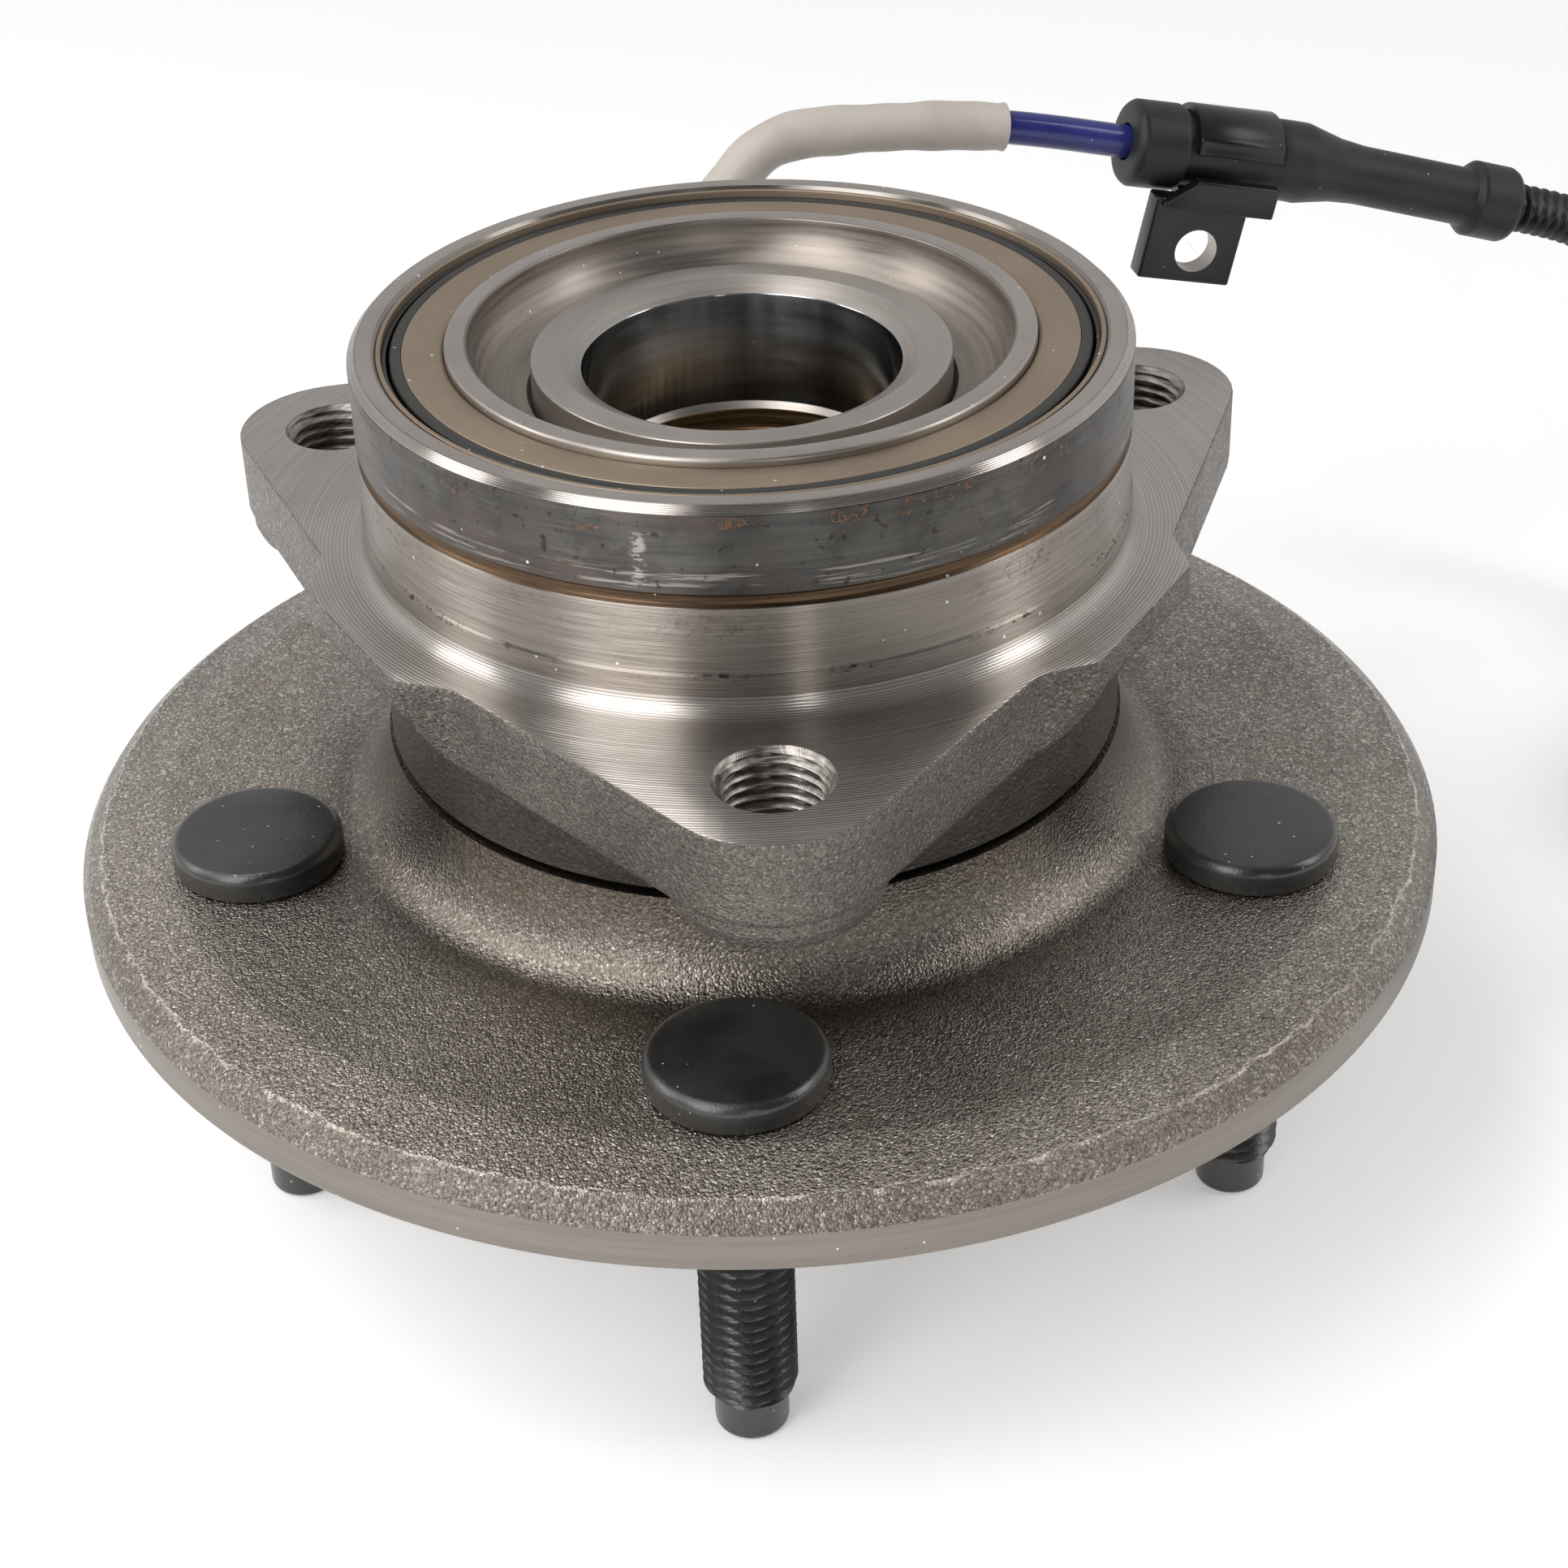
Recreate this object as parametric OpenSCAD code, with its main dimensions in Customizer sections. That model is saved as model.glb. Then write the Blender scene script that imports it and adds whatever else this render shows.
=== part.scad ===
// Front wheel hub unit: a flanged spindle with five wheel studs turns on two rows
// of tapered rollers inside a three-lug housing that carries a wheel speed sensor.
// Origin on the spin axis at the wheel's mounting face, +Z toward the vehicle.

/* [Wheel flange] */
// Diameter of the wheel flange
flange_d = 181.1; // [174:0.1:188]
// Thickness of the flange at the studs
flange_t = 9.6; // [9:0.1:11]
// Height of the machined band round the rim
rim_band = 5.3; // [4:0.1:6]
// Diameter of the pilot that centres the wheel
pilot_d = 86.9; // [80:0.1:90]
// How far the pilot stands out of the wheel face
pilot_len = 24; // [18:0.5:30]
// Diameter of the recess that takes the axle nut
nut_recess_d = 62; // [56:0.5:68]
// Height of the flange collar above the wheel face
collar_z = 21.1; // [20.5:0.1:21.3]

/* [Wheel studs] */
// Number of studs
stud_count = 5; // [4:1:6]
// Diameter of the circle through the studs
stud_pcd = 135; // [132:0.5:140]
// Thread diameter of a stud
stud_d = 12; // [11:0.5:14]
// Threaded length beyond the wheel face
stud_thread_len = 39.2; // [34:0.2:44]
// Pitch of the stud thread
stud_pitch = 1.75; // [1.25:0.05:2]
// Diameter of the plain nose that guides the nut
nose_d = 9.35; // [8.6:0.05:9.8]
// Length of the plain nose
nose_len = 5.5; // [4:0.1:7]
// Diameter of the stud head
head_d = 22.2; // [20:0.1:22.6]
// Thickness of the stud head
head_t = 4; // [3:0.1:5]
// Turn of the stud pattern about the axis
stud_turn = -94.8; // [-100:0.1:-90]

/* [Knuckle flange] */
// Height of the machined face that bolts to the knuckle
knuckle_z = 47.9; // [47:0.1:49]
// Diameter of the circle through the three bolt holes
bolt_pcd = 126; // [124:0.5:129]
// Tapping diameter of the bolt holes
bolt_hole_d = 12; // [10:0.1:12.6]
// Width of the mouth of a bolt hole
bolt_mouth_d = 14.3; // [13.2:0.1:15.5]
// Radius of the round end of a lug
lug_r = 13.2; // [12:0.1:14]
// Thickness of a lug
lug_t = 11.4; // [10:0.1:12.5]
// Depth of the round boss below the knuckle face
boss_t = 15; // [14:0.1:16.5]
// Thickness of the web between the lugs
web_t = 4.8; // [4:0.1:6]
// Distance from the axis to the flats between the lugs
flat_r = 56; // [55:0.1:57]

/* [Bearing housing] */
// Diameter of the barrel between the two flanges
barrel_d = 96; // [95:0.1:97]
// Diameter of the pilot that fits the knuckle
knuckle_pilot_d = 97.4; // [97:0.1:98.4]
// Height of the housing's inboard end
top_z = 74.3; // [74:0.1:76]
// Diameter of the seat for the inboard seal
seal_seat_d = 90.2; // [89.6:0.1:91]
// Diameter of the seat for the outboard seal
outer_seat_d = 87.2; // [87:0.1:88]

/* [Bearing] */
// Diameter of the spindle under the inner rings
spindle_d = 52.7; // [50:0.1:54]
// Number of rollers in a row
roller_count = 24; // [18:1:24]
// Mean diameter of a tapered roller
roller_d = 7.6; // [7:0.05:7.7]
// Length of a roller
roller_len = 14; // [12.5:0.1:14.2]
// Radius of the circle through the middles of the rollers
pitch_r = 37.3; // [37.2:0.05:37.5]
// Angle between a roller's axis and the spin axis
roller_angle = 12; // [11.5:0.1:12.5]
// Distance between the middles of the two rows
row_spread = 18; // [17.8:0.1:18.4]
// Height of the middle of the bearing above the wheel face
bearing_z = 49; // [48.8:0.1:49.4]
// Number of teeth on the tone ring
tone_teeth = 48; // [36:2:60]

/* [Spindle bore] */
// Diameter of the hardened bore at the inboard end
bore_d = 40; // [38:0.1:42]
// Major diameter of the splines
spline_major_d = 33.4; // [32:0.1:35]
// Minor diameter of the splines
spline_minor_d = 30.8; // [29:0.1:31.5]
// Number of splines
spline_count = 30; // [24:1:34]

/* [Speed sensor and lead] */
// Angle of the sensor about the axis
sensor_turn = 93.5; // [90:0.5:96]
// Diameter of the sensor's nose
sensor_d = 6; // [5:0.1:6.2]
// Diameter of the lead's jacket
lead_d = 5.3; // [4.8:0.1:5.6]
// Outer diameter of the sleeve over the first stretch
sleeve_d = 7.6; // [7.2:0.1:8.4]
// Outer diameter of the corrugated conduit
conduit_d = 8.3; // [7.8:0.1:9]
// Diameter of the grommet under the bracket
grommet_d = 12; // [11:0.1:13]
// Thickness of the bracket's plate
bracket_t = 2.2; // [1.6:0.1:3]
// Hole in the bracket's plate
bracket_hole_d = 7.1; // [6.2:0.1:8]

/* [Hidden] */

// Clearances between pieces that fit each other
press_gap = 0.01;
running_gap = 0.04;
seal_gap = 0.08;

// Studs
knurl_d = stud_d + 1.1;
stud_tip_z = -stud_thread_len - nose_len;
floor_z = stud_tip_z;
thread_start = 1.2;
thread_end = 1;
thread_root_r = stud_d / 2 - 0.6 * stud_pitch;
thread_turns = floor((stud_thread_len - thread_start - thread_end) / stud_pitch);

// Knuckle flange: the flats sit a little off the middle between two lugs
lug_count = 3;
lug_turn = -90;
flat_turn = -3;
flat_half = 13.3;
kink_half = 20.8;
corner_r = flat_r / cos(flat_half);
kink_r = corner_r - 3.2;
lug_half = 38.3;
lug_apex_r = bolt_pcd / 2 + lug_r / sin(lug_half);
ramp_w = 8;

// Housing
barrel_r = barrel_d / 2;
kpilot_r = knuckle_pilot_d / 2;
barrel_z = collar_z + 0.6;
root_r = 2.8;
groove_drop = 12.8;
groove_z = top_z - groove_drop;
groove_w = 1.8;
groove_t = 0.6;
seal_seat_r = seal_seat_d / 2;
outer_seat_r = outer_seat_d / 2;
outer_seal_w = 3.4;

// Tapered rows: the cones of roller, cup and inner ring share one apex on the axis
apex_d = pitch_r / sin(roller_angle);
taper = atan(roller_d / 2 / apex_d);
small_d = apex_d - roller_len / 2;
large_d = apex_d + roller_len / 2;
apex_z = row_spread / 2 - apex_d * cos(roller_angle);
inner_angle = roller_angle - taper;
outer_angle = roller_angle + taper;
function inner_race(z) = (z - apex_z) * tan(inner_angle) - running_gap / cos(inner_angle);
function outer_race(z) = (z - apex_z) * tan(outer_angle) + running_gap / cos(outer_angle);
inner_small_z = apex_z + small_d / cos(taper) * cos(inner_angle);
inner_large_z = apex_z + large_d / cos(taper) * cos(inner_angle);
outer_small_z = apex_z + small_d / cos(taper) * cos(outer_angle);
outer_large_z = apex_z + large_d / cos(taper) * cos(outer_angle);
cup_r = outer_race(outer_large_z + 0.4);
core_r = pitch_r;
rib_h = 1.9;
rib_r = inner_race(inner_large_z) + rib_h;
outboard_back = 20;
shoulder_z = bearing_z - outboard_back;
inboard_back = top_z - bearing_z;
rim_w = 2.8;
rim_edge = 0.5;
dish_h = 7.3;
cage_t = 1.1;
cage_lift = 0.8;
cage_ring = 1.6;
cage_float = 0.16;
cage_end = apex_z + (large_d + cage_ring + cage_float) * cos(roller_angle);

// Wheel flange
flange_r = flange_d / 2;
bevel = 2.9;
plateau_fall = 8;
collar_r = barrel_d / 2 + 0.4;
fillet_w = stud_pcd / 2 - head_d / 2 - 0.4 - collar_r;
edge = 0.8;
shoulder_r = rib_r;
nose_z = top_z - 3.2;
nose_wall = 3.5;
mouth_drop = 1.5;
hard_bore_len = 16.8;
ledge_z = nose_z - hard_bore_len;
ledge = 0.8;
spline_top_z = ledge_z - 5.5;
nut_seat_z = -3.5;
lead_in = 1.5;

// Seals
seal_sheet = 0.6;
slinger_top = top_z - 0.9;
slinger_sleeve = 5.4;
rubber_w = 1.5;
rubber_gap = 0.4;
slinger_rubber_r = seal_seat_r - 2 * seal_sheet - rubber_gap;
slinger_r = slinger_rubber_r - rubber_w;
case_in_r = (seal_seat_r + rib_r) / 2;
outer_case_in_r = (outer_seat_r + shoulder_r) / 2;
seal_floor_z = bearing_z + cage_end + 0.4;
outer_seal_top = barrel_z + outer_seal_w;

// Tone ring and sensor
tone_z = outer_seal_top + 1.2;
tone_w = 4.2;
tone_r = rib_r + 4.8;
tone_air = 0.8;
sensor_z = tone_z + tone_w / 2;
sensor_tip = tone_r + tone_air;
pad_y = barrel_r + 4.5;
pad_w = 27;
pad_h = 13;
pad_shift = 5;
sensor_head = [13, 9.5, 11];
sensor_neck = 3;
sensor_bore_d = sensor_d + 0.3;
screw_x = 12;
screw_d = 5;
screw_len = 7;
ear_t = 4;
o_ring_d = 1.4;

// Lead: points of its middle line, from the sensor to the coil
sensor_exit = pad_y + sensor_head[1] + sensor_neck + 0.3;
sleeve_route = [[sensor_exit * cos(sensor_turn), sensor_exit * sin(sensor_turn), sensor_z],
    [-4.5, 73, sensor_z], [-5.6, 81, 30.8], [-6, 88.5, 35], [-4.5, 95, 41],
    [-1.5, 99.5, 47.5], [2.8, 101.6, 53], [6.8, 102.4, 56.9], [12, 103.3, 58.8],
    [19, 104.6, 58.9], [28, 106.2, 58.4], [37, 107.8, 57.6], [45.5, 109.3, 56.4]];
jacket_route = [[45.5, 109.3, 56.4], [55, 111, 54.3], [65.5, 113, 51.6], [78.7, 115.4, 48.5],
    [92, 117.8, 45.4], [112, 121.4, 39], [132, 125, 32.5]];
conduit_route = [[132.3, 125.05, 32.4], [143, 127, 28.6], [153, 128.3, 23.2], [161.5, 128.6, 15.6],
    [167.5, 127.6, 6], [170.5, 125, -5], [170.5, 120.6, -16], [168, 114, -26],
    [163.5, 105.5, -34], [158, 96.5, -39], [152.5, 87.5, -40.5]];
floor_route = [[152.5, 87.5, -40.5], [147.6, 77.5, -41.4], [144.2, 66.5, -42], [143, 56, -42.05]];
tail_route = [[143, 56, -31.45], [143, 48, -32], [143, 40, -34.4], [143, 32, -37],
    [143, 25, -38.1], [143, 20, -38.2]];
coil_turns = 2;
coil_r = 28;
coil_x = 171;
coil_y = 56;
lead_wall = 0.35;
sleeve_wall = 0.7;
conduit_wall = 0.9;

// Grommet and bracket, on the straight stretch of the lead
grommet_start = [65.5, 113, 51.6];
grommet_knee = [92, 117.8, 45.4];
grommet_end = [132, 125, 32.5];
collar_len = 9;
grommet_collar_d = 13.8;
grommet_tube_d = 9.5;
end_collar_d = 12.4;
taper_start = 4;
taper_end = 14;
saddle_x = 10;
saddle_len = 14.5;
saddle_t = 1.3;
plate_x = 4.6;
plate_w = 16;
plate_drop = 19.6;
plate_hole = [13.4, -14.2];
lip = [14.5, 5, 4];

// Connector
plug = [16, 28, 13];
plug_wall = 1.8;
socket_depth = 14;
pin_d = 1.6;
pin_gap = 5;
pin_len = 10;
latch = [6, 14, 2.4];
latch_inset = 4;
latch_sink = 0.5;

// Points of an arc
function arc(c, r, a0, a1, n) =
    [for (i = [0:n]) let (a = a0 + (a1 - a0) * i / n) [c[0] + r * cos(a), c[1] + r * sin(a)]];
// Point at a radius and an angle
function polar(r, a) = [r * cos(a), r * sin(a)];
// Points of a corner of a closed outline, rounded with its own radius
function rounded_corner(before, at, after, r, n) =
    let (u = (before - at) / norm(before - at), v = (after - at) / norm(after - at),
        half = acos(u * v) / 2, reach = r / tan(half), mid = (u + v) / norm(u + v),
        c = at + mid * r / sin(half), p = at + u * reach - c, q = at + v * reach - c,
        a0 = atan2(p[1], p[0]), turn = atan2(q[1], q[0]) - a0,
        sweep = turn > 180 ? turn - 360 : turn < -180 ? turn + 360 : turn)
    arc(c, r, a0, a0 + sweep, n);
function rounded_outline(pts, radii, n) =
    [for (i = [0:len(pts) - 1]) each rounded_corner(pts[(i + len(pts) - 1) % len(pts)],
        pts[i], pts[(i + 1) % len(pts)], radii[i], n)];

// Tubes swept along a route: the curve passes through every point of the route
function curve_point(r, i, t) =
    let (p0 = r[max(i - 1, 0)], p1 = r[i], p2 = r[i + 1], p3 = r[min(i + 2, len(r) - 1)])
    0.5 * (2 * p1 + (p2 - p0) * t + (2 * p0 - 5 * p1 + 4 * p2 - p3) * t * t
        + (3 * p1 - p0 - 3 * p2 + p3) * t * t * t);
function curve(r, n) = [for (i = [0:len(r) - 2], k = [0:n - 1]) curve_point(r, i, k / n),
    r[len(r) - 1]];
function unit(v) = v / norm(v);
function ring_points(path, i, r, sides) =
    let (a = path[max(i - 1, 0)], b = path[min(i + 1, len(path) - 1)], t = unit(b - a),
        ref = [0.35, -0.25, 0.9], u = unit(cross(ref, t)), v = cross(t, u))
    [for (k = [0:sides - 1]) path[i] + r * (u * cos(360 * k / sides) + v * sin(360 * k / sides))];
function wall_faces(rings, sides, first) = [for (i = [0:rings - 2], k = [0:sides - 1])
    let (j = (k + 1) % sides, a = first + i * sides, b = a + sides) each
        [[a + k, b + k, b + j], [a + k, b + j, a + j]]];
function flipped(faces) = [for (f = faces) [f[0], f[2], f[1]]];
function rim_faces(outer, inner, sides) = [for (k = [0:sides - 1]) let (j = (k + 1) % sides) each
    [[outer + k, outer + j, inner + j], [outer + k, inner + j, inner + k]]];
function all_rings(path, r, sides) =
    [for (i = [0:len(path) - 1]) each ring_points(path, i, r, sides)];
module swept_rod(path, r, sides) {
    last = (len(path) - 1) * sides;
    near_end = [for (k = [1:sides - 2]) [0, k, k + 1]];
    far_end = [for (k = [1:sides - 2]) [last, last + k + 1, last + k]];
    polyhedron(all_rings(path, r, sides),
        concat(near_end, wall_faces(len(path), sides, 0), far_end), convexity = 6);
}
module swept_tube(path, r, wall, sides) {
    n = len(path);
    inner = n * sides;
    last = (n - 1) * sides;
    polyhedron(concat(all_rings(path, r, sides), all_rings(path, r - wall, sides)),
        concat(wall_faces(n, sides, 0), flipped(wall_faces(n, sides, inner)),
            rim_faces(0, inner, sides), flipped(rim_faces(last, inner + last, sides))),
        convexity = 6);
}

// Turned piece from its half section
module turned(points, sides = 120) {
    rotate_extrude($fn = sides) polygon(points);
}
// Children drawn along +X at the start point, leaning to the end point
module along_lead(from, to) {
    d = to - from;
    translate(from) rotate([0, atan2(-d[2], norm([d[0], d[1]])), atan2(d[1], d[0])]) children();
}
module at_sensor() {
    rotate([0, 0, sensor_turn - 90]) translate([0, 0, sensor_z]) children();
}

// Wheel flange and spindle, one forging
hub_section = concat(
    [[nut_recess_d / 2, -pilot_len], [pilot_d / 2 - lead_in, -pilot_len],
        [pilot_d / 2, -pilot_len + lead_in], [pilot_d / 2, 0], [flange_r - edge, 0],
        [flange_r, edge], [flange_r, rim_band], [flange_r - bevel, rim_band + bevel],
        [flange_r - bevel - plateau_fall, flange_t]],
    [for (a = [0:9:90]) [collar_r + fillet_w * (1 - sin(a)),
        flange_t + (collar_z - flange_t) * (1 - cos(a))]],
    arc([shoulder_r + lead_in, collar_z + lead_in], lead_in, 270, 180, 4),
    [[shoulder_r, shoulder_z], [spindle_d / 2, shoulder_z], [spindle_d / 2, nose_z - edge / 2],
        [spindle_d / 2 - edge / 2, nose_z], [spindle_d / 2 - nose_wall, nose_z],
        [bore_d / 2, nose_z - mouth_drop], [bore_d / 2, ledge_z],
        [bore_d / 2 - ledge, ledge_z - ledge], [bore_d / 2 - ledge, spline_top_z + 2],
        [spline_minor_d / 2, spline_top_z], [spline_minor_d / 2, nut_seat_z + lead_in],
        [spline_major_d / 2, nut_seat_z], [nut_recess_d / 2, nut_seat_z]]);
module spline_cut() {
    step = 360 / spline_count;
    root = spline_minor_d / 2 - 0.5;
    top = spline_major_d / 2;
    linear_extrude(spline_top_z - nut_seat_z + 2) polygon([for (i = [0:spline_count - 1]) each
        [polar(root, (i - 0.30) * step), polar(top, (i - 0.20) * step),
            polar(top, (i + 0.20) * step), polar(root, (i + 0.30) * step)]]);
}
module wheel_flange() color("#8c847c") difference() {
    turned(hub_section, 180);
    translate([0, 0, nut_seat_z - 1]) spline_cut();
    for (i = [0:stud_count - 1]) rotate([0, 0, stud_turn + i * 360 / stud_count])
        translate([stud_pcd / 2, 0, -1])
            cylinder(d = knurl_d + 2 * press_gap, h = flange_t + 2, $fn = 48);
}
// The thread is drawn as one V groove a pitch, with flat crests between
function thread_groove(z) = [[stud_d / 2, z + stud_pitch / 8],
    [thread_root_r, z + stud_pitch * 9 / 16], [stud_d / 2, z + stud_pitch]];
module stud() {
    nose_r = nose_d / 2;
    head_r = head_d / 2;
    round_r = 1.4;
    turned(concat([[0, stud_tip_z], [nose_r - 1, stud_tip_z], [nose_r, stud_tip_z + 1],
        [nose_r, -stud_thread_len], [stud_d / 2, -stud_thread_len + thread_start]],
        [for (i = [0:thread_turns - 1]) each thread_groove(-stud_thread_len + thread_start
            + i * stud_pitch)],
        [[stud_d / 2, -0.4], [knurl_d / 2, 0.4], [knurl_d / 2, flange_t],
            [head_r - 0.3, flange_t], [head_r, flange_t + 0.3]],
        arc([head_r - round_r, flange_t + head_t - round_r], round_r, 0, 90, 4),
        [[0, flange_t + head_t]]), 48);
}
module wheel_studs() color("#2d2d2d")
    for (i = [0:stud_count - 1]) rotate([0, 0, stud_turn + i * 360 / stud_count])
        translate([stud_pcd / 2, 0, 0]) stud();

// Housing with the cups of both rows and the three-lug knuckle flange
module knuckle_outline() {
    corners = [for (i = [0:lug_count - 1]) let (a = lug_turn + i * 120, f = a + 60 + flat_turn)
        each [polar(lug_apex_r, a), polar(kink_r, f - kink_half), polar(corner_r, f - flat_half),
            polar(corner_r, f + flat_half), polar(kink_r, f + kink_half)]];
    radii = [for (i = [0:lug_count - 1]) each [lug_r, 5, 2.2, 2.2, 5]];
    polygon(rounded_outline(corners, radii, 6));
}
module lug_block() {
    low = knuckle_z - lug_t;
    web = knuckle_z - web_t;
    reach = kink_r * sin(60 - kink_half);
    mid = kink_r * (sin(60 + flat_turn - kink_half) - sin(60 - flat_turn - kink_half)) / 2;
    translate([barrel_r / 2, 0, 0]) rotate([90, 0, 90]) linear_extrude(lug_apex_r - barrel_r / 2)
        polygon([[mid - reach, low], [mid + reach, low], [mid + reach + ramp_w, web + 1],
            [mid - reach - ramp_w, web + 1]]);
}
housing_section = concat(
    [[core_r, barrel_z], [barrel_r - 0.5, barrel_z], [barrel_r, barrel_z + 0.5]],
    arc([barrel_r + root_r, knuckle_z - web_t - root_r], root_r, 180, 90, 5),
    arc([kpilot_r + 0.3 + root_r, knuckle_z + root_r], root_r, 270, 180, 6),
    [[kpilot_r + 0.3, knuckle_z + root_r + 2], [kpilot_r, knuckle_z + root_r + 2.3],
        [kpilot_r, groove_z], [kpilot_r - groove_t, groove_z + groove_w / 2],
        [kpilot_r, groove_z + groove_w], [kpilot_r, top_z - 1], [kpilot_r - 1, top_z],
        [core_r, top_z]]);
housing_cavity = [[0, barrel_z - 1], [outer_seat_r, barrel_z - 1], [outer_seat_r, outer_seal_top],
    [cup_r, outer_seal_top], [cup_r, bearing_z - outer_large_z - 0.4],
    [outer_race(outer_small_z - 0.4), bearing_z - outer_small_z + 0.4],
    [outer_race(outer_small_z - 0.4), bearing_z + outer_small_z - 0.4],
    [cup_r, bearing_z + outer_large_z + 0.4], [cup_r, seal_floor_z],
    [seal_seat_r, seal_floor_z], [seal_seat_r, top_z - seal_sheet],
    [seal_seat_r + seal_sheet, top_z], [seal_seat_r + seal_sheet, top_z + 1], [0, top_z + 1]];
module bearing_housing() color("#76706a") difference() {
    union() {
        turned(housing_section, 180);
        translate([0, 0, knuckle_z - web_t]) linear_extrude(web_t) knuckle_outline();
        intersection() {
            translate([0, 0, knuckle_z - lug_t - 1]) linear_extrude(lug_t + 1 - web_t / 2)
                knuckle_outline();
            union() for (i = [0:lug_count - 1]) rotate([0, 0, lug_turn + i * 120]) lug_block();
        }
        for (i = [0:lug_count - 1]) rotate([0, 0, lug_turn + i * 120])
            translate([bolt_pcd / 2, 0, knuckle_z - boss_t]) {
                cylinder(r1 = lug_r - 1.6, r2 = lug_r - 0.4, h = 1.2, $fn = 64);
                translate([0, 0, 1.2]) cylinder(r = lug_r - 0.4, h = boss_t - 2, $fn = 64);
            }
        at_sensor() translate([pad_shift - pad_w / 2, barrel_r - 5, barrel_z + 0.6 - sensor_z])
            cube([pad_w, pad_y - barrel_r + 5, pad_h]);
    }
    turned(housing_cavity, 180);
    for (i = [0:lug_count - 1]) rotate([0, 0, lug_turn + i * 120])
        translate([bolt_pcd / 2, 0, 0]) {
            translate([0, 0, knuckle_z - boss_t - 1])
                cylinder(d = bolt_hole_d, h = boss_t + 2, $fn = 64);
            translate([0, 0, knuckle_z - (bolt_mouth_d - bolt_hole_d) / 2])
                cylinder(d1 = bolt_hole_d, d2 = bolt_mouth_d + 0.02,
                    h = (bolt_mouth_d - bolt_hole_d) / 2 + 0.01, $fn = 64);
        }
    at_sensor() rotate([-90, 0, 0]) translate([0, 0, cup_r - 2])
        cylinder(d = sensor_bore_d, h = pad_y - cup_r + 4, $fn = 48);
    at_sensor() translate([screw_x, pad_y + 1, 0]) rotate([90, 0, 0])
        cylinder(d = screw_d + 2 * press_gap, h = screw_len + 2, $fn = 32);
}

// Seals
module inboard_seal_case() color("#86796b")
    turned([[case_in_r, seal_floor_z], [seal_seat_r - press_gap, seal_floor_z],
        [seal_seat_r - press_gap, top_z - 0.3], [seal_seat_r - seal_sheet, top_z - 0.3],
        [seal_seat_r - seal_sheet, seal_floor_z + seal_sheet],
        [case_in_r, seal_floor_z + seal_sheet]]);
module inboard_seal_lip() color("#585858") {
    low = seal_floor_z + seal_sheet + press_gap;
    lip_r = rib_r + press_gap + seal_sheet + seal_gap;
    turned([[lip_r + 1.4, low], [seal_seat_r - seal_sheet - press_gap, low],
        [seal_seat_r - seal_sheet - press_gap, top_z - 1.2],
        [seal_seat_r - 2 * seal_sheet, top_z - 1.2], [seal_seat_r - 2 * seal_sheet, low + 1],
        [lip_r + 1.2, low + 1], [lip_r, low + 2.4], [lip_r, low + 1.6]]);
}
module seal_slinger() color("#86796b") {
    in_r = rib_r + press_gap;
    turned([[in_r, slinger_top - slinger_sleeve], [in_r + seal_sheet, slinger_top - slinger_sleeve],
        [in_r + seal_sheet, slinger_top - seal_sheet], [slinger_r, slinger_top - seal_sheet],
        [slinger_r, slinger_top], [in_r + 0.5, slinger_top], [in_r, slinger_top - 0.5]]);
}
module slinger_rubber() color("#505050")
    turned([[slinger_r + press_gap, slinger_top - 1.6], [slinger_rubber_r, slinger_top - 1.6],
        [slinger_rubber_r, slinger_top - 0.5], [slinger_rubber_r - 0.4, slinger_top],
        [slinger_r + press_gap, slinger_top]]);
module outboard_seal_case() color("#76706a")
    turned([[outer_case_in_r, outer_seal_top - seal_sheet], [outer_case_in_r, outer_seal_top],
        [outer_seat_r - press_gap, outer_seal_top], [outer_seat_r - press_gap, barrel_z],
        [outer_seat_r - seal_sheet, barrel_z],
        [outer_seat_r - seal_sheet, outer_seal_top - seal_sheet]]);
module outboard_seal_lip() color("#3a3a3a") {
    high = outer_seal_top - seal_sheet - press_gap;
    lip_r = shoulder_r + seal_gap;
    out_r = outer_seat_r - seal_sheet - press_gap;
    root = (out_r - lip_r) * 0.23;
    face_r = out_r - (out_r - lip_r) * 0.35;
    turned([[lip_r + root, high], [out_r, high], [out_r, high - 1.1], [face_r + 0.5 * root, high - 1.1],
        [face_r + root, collar_z + seal_gap], [face_r + 0.5 * root, collar_z + seal_gap],
        [face_r - 0.2 * root, high - 1.1], [lip_r + root, high - 1.1], [lip_r, high - 1.2],
        [lip_r, high - 0.5]]);
}

// One row of the bearing, with its small ends at the middle of the bearing
module roller() {
    rotate([0, roller_angle, 0]) translate([0, 0, small_d])
        cylinder(r1 = small_d * tan(taper), r2 = large_d * tan(taper), h = roller_len, $fn = 32);
}
module roller_row() {
    for (i = [0:roller_count - 1]) rotate([0, 0, i * 360 / roller_count])
        translate([0, 0, apex_z]) roller();
}
module cage_row() {
    // Half section of the pressed cage, drawn along the rollers' cone
    start = small_d - cage_ring - cage_float;
    stop = large_d + cage_ring + cage_float;
    function on_cone(d, lift) = [d * sin(roller_angle) + lift * cos(roller_angle),
        apex_z + d * cos(roller_angle) - lift * sin(roller_angle)];
    difference() {
        turned([on_cone(start, cage_lift), on_cone(stop, cage_lift),
            on_cone(stop, cage_lift + cage_t), on_cone(start, cage_lift + cage_t)]);
        for (i = [0:roller_count - 1]) rotate([0, 0, i * 360 / roller_count])
            translate([0, 0, apex_z]) rotate([0, roller_angle, 0]) rotate([90, 0, 90])
                linear_extrude(roller_d) cage_window();
    }
}
module cage_window() {
    s = small_d * tan(taper) + cage_float;
    l = large_d * tan(taper) + cage_float;
    polygon([[-s, small_d - cage_float], [s, small_d - cage_float],
        [l, large_d + cage_float], [-l, large_d + cage_float]]);
}
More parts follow.
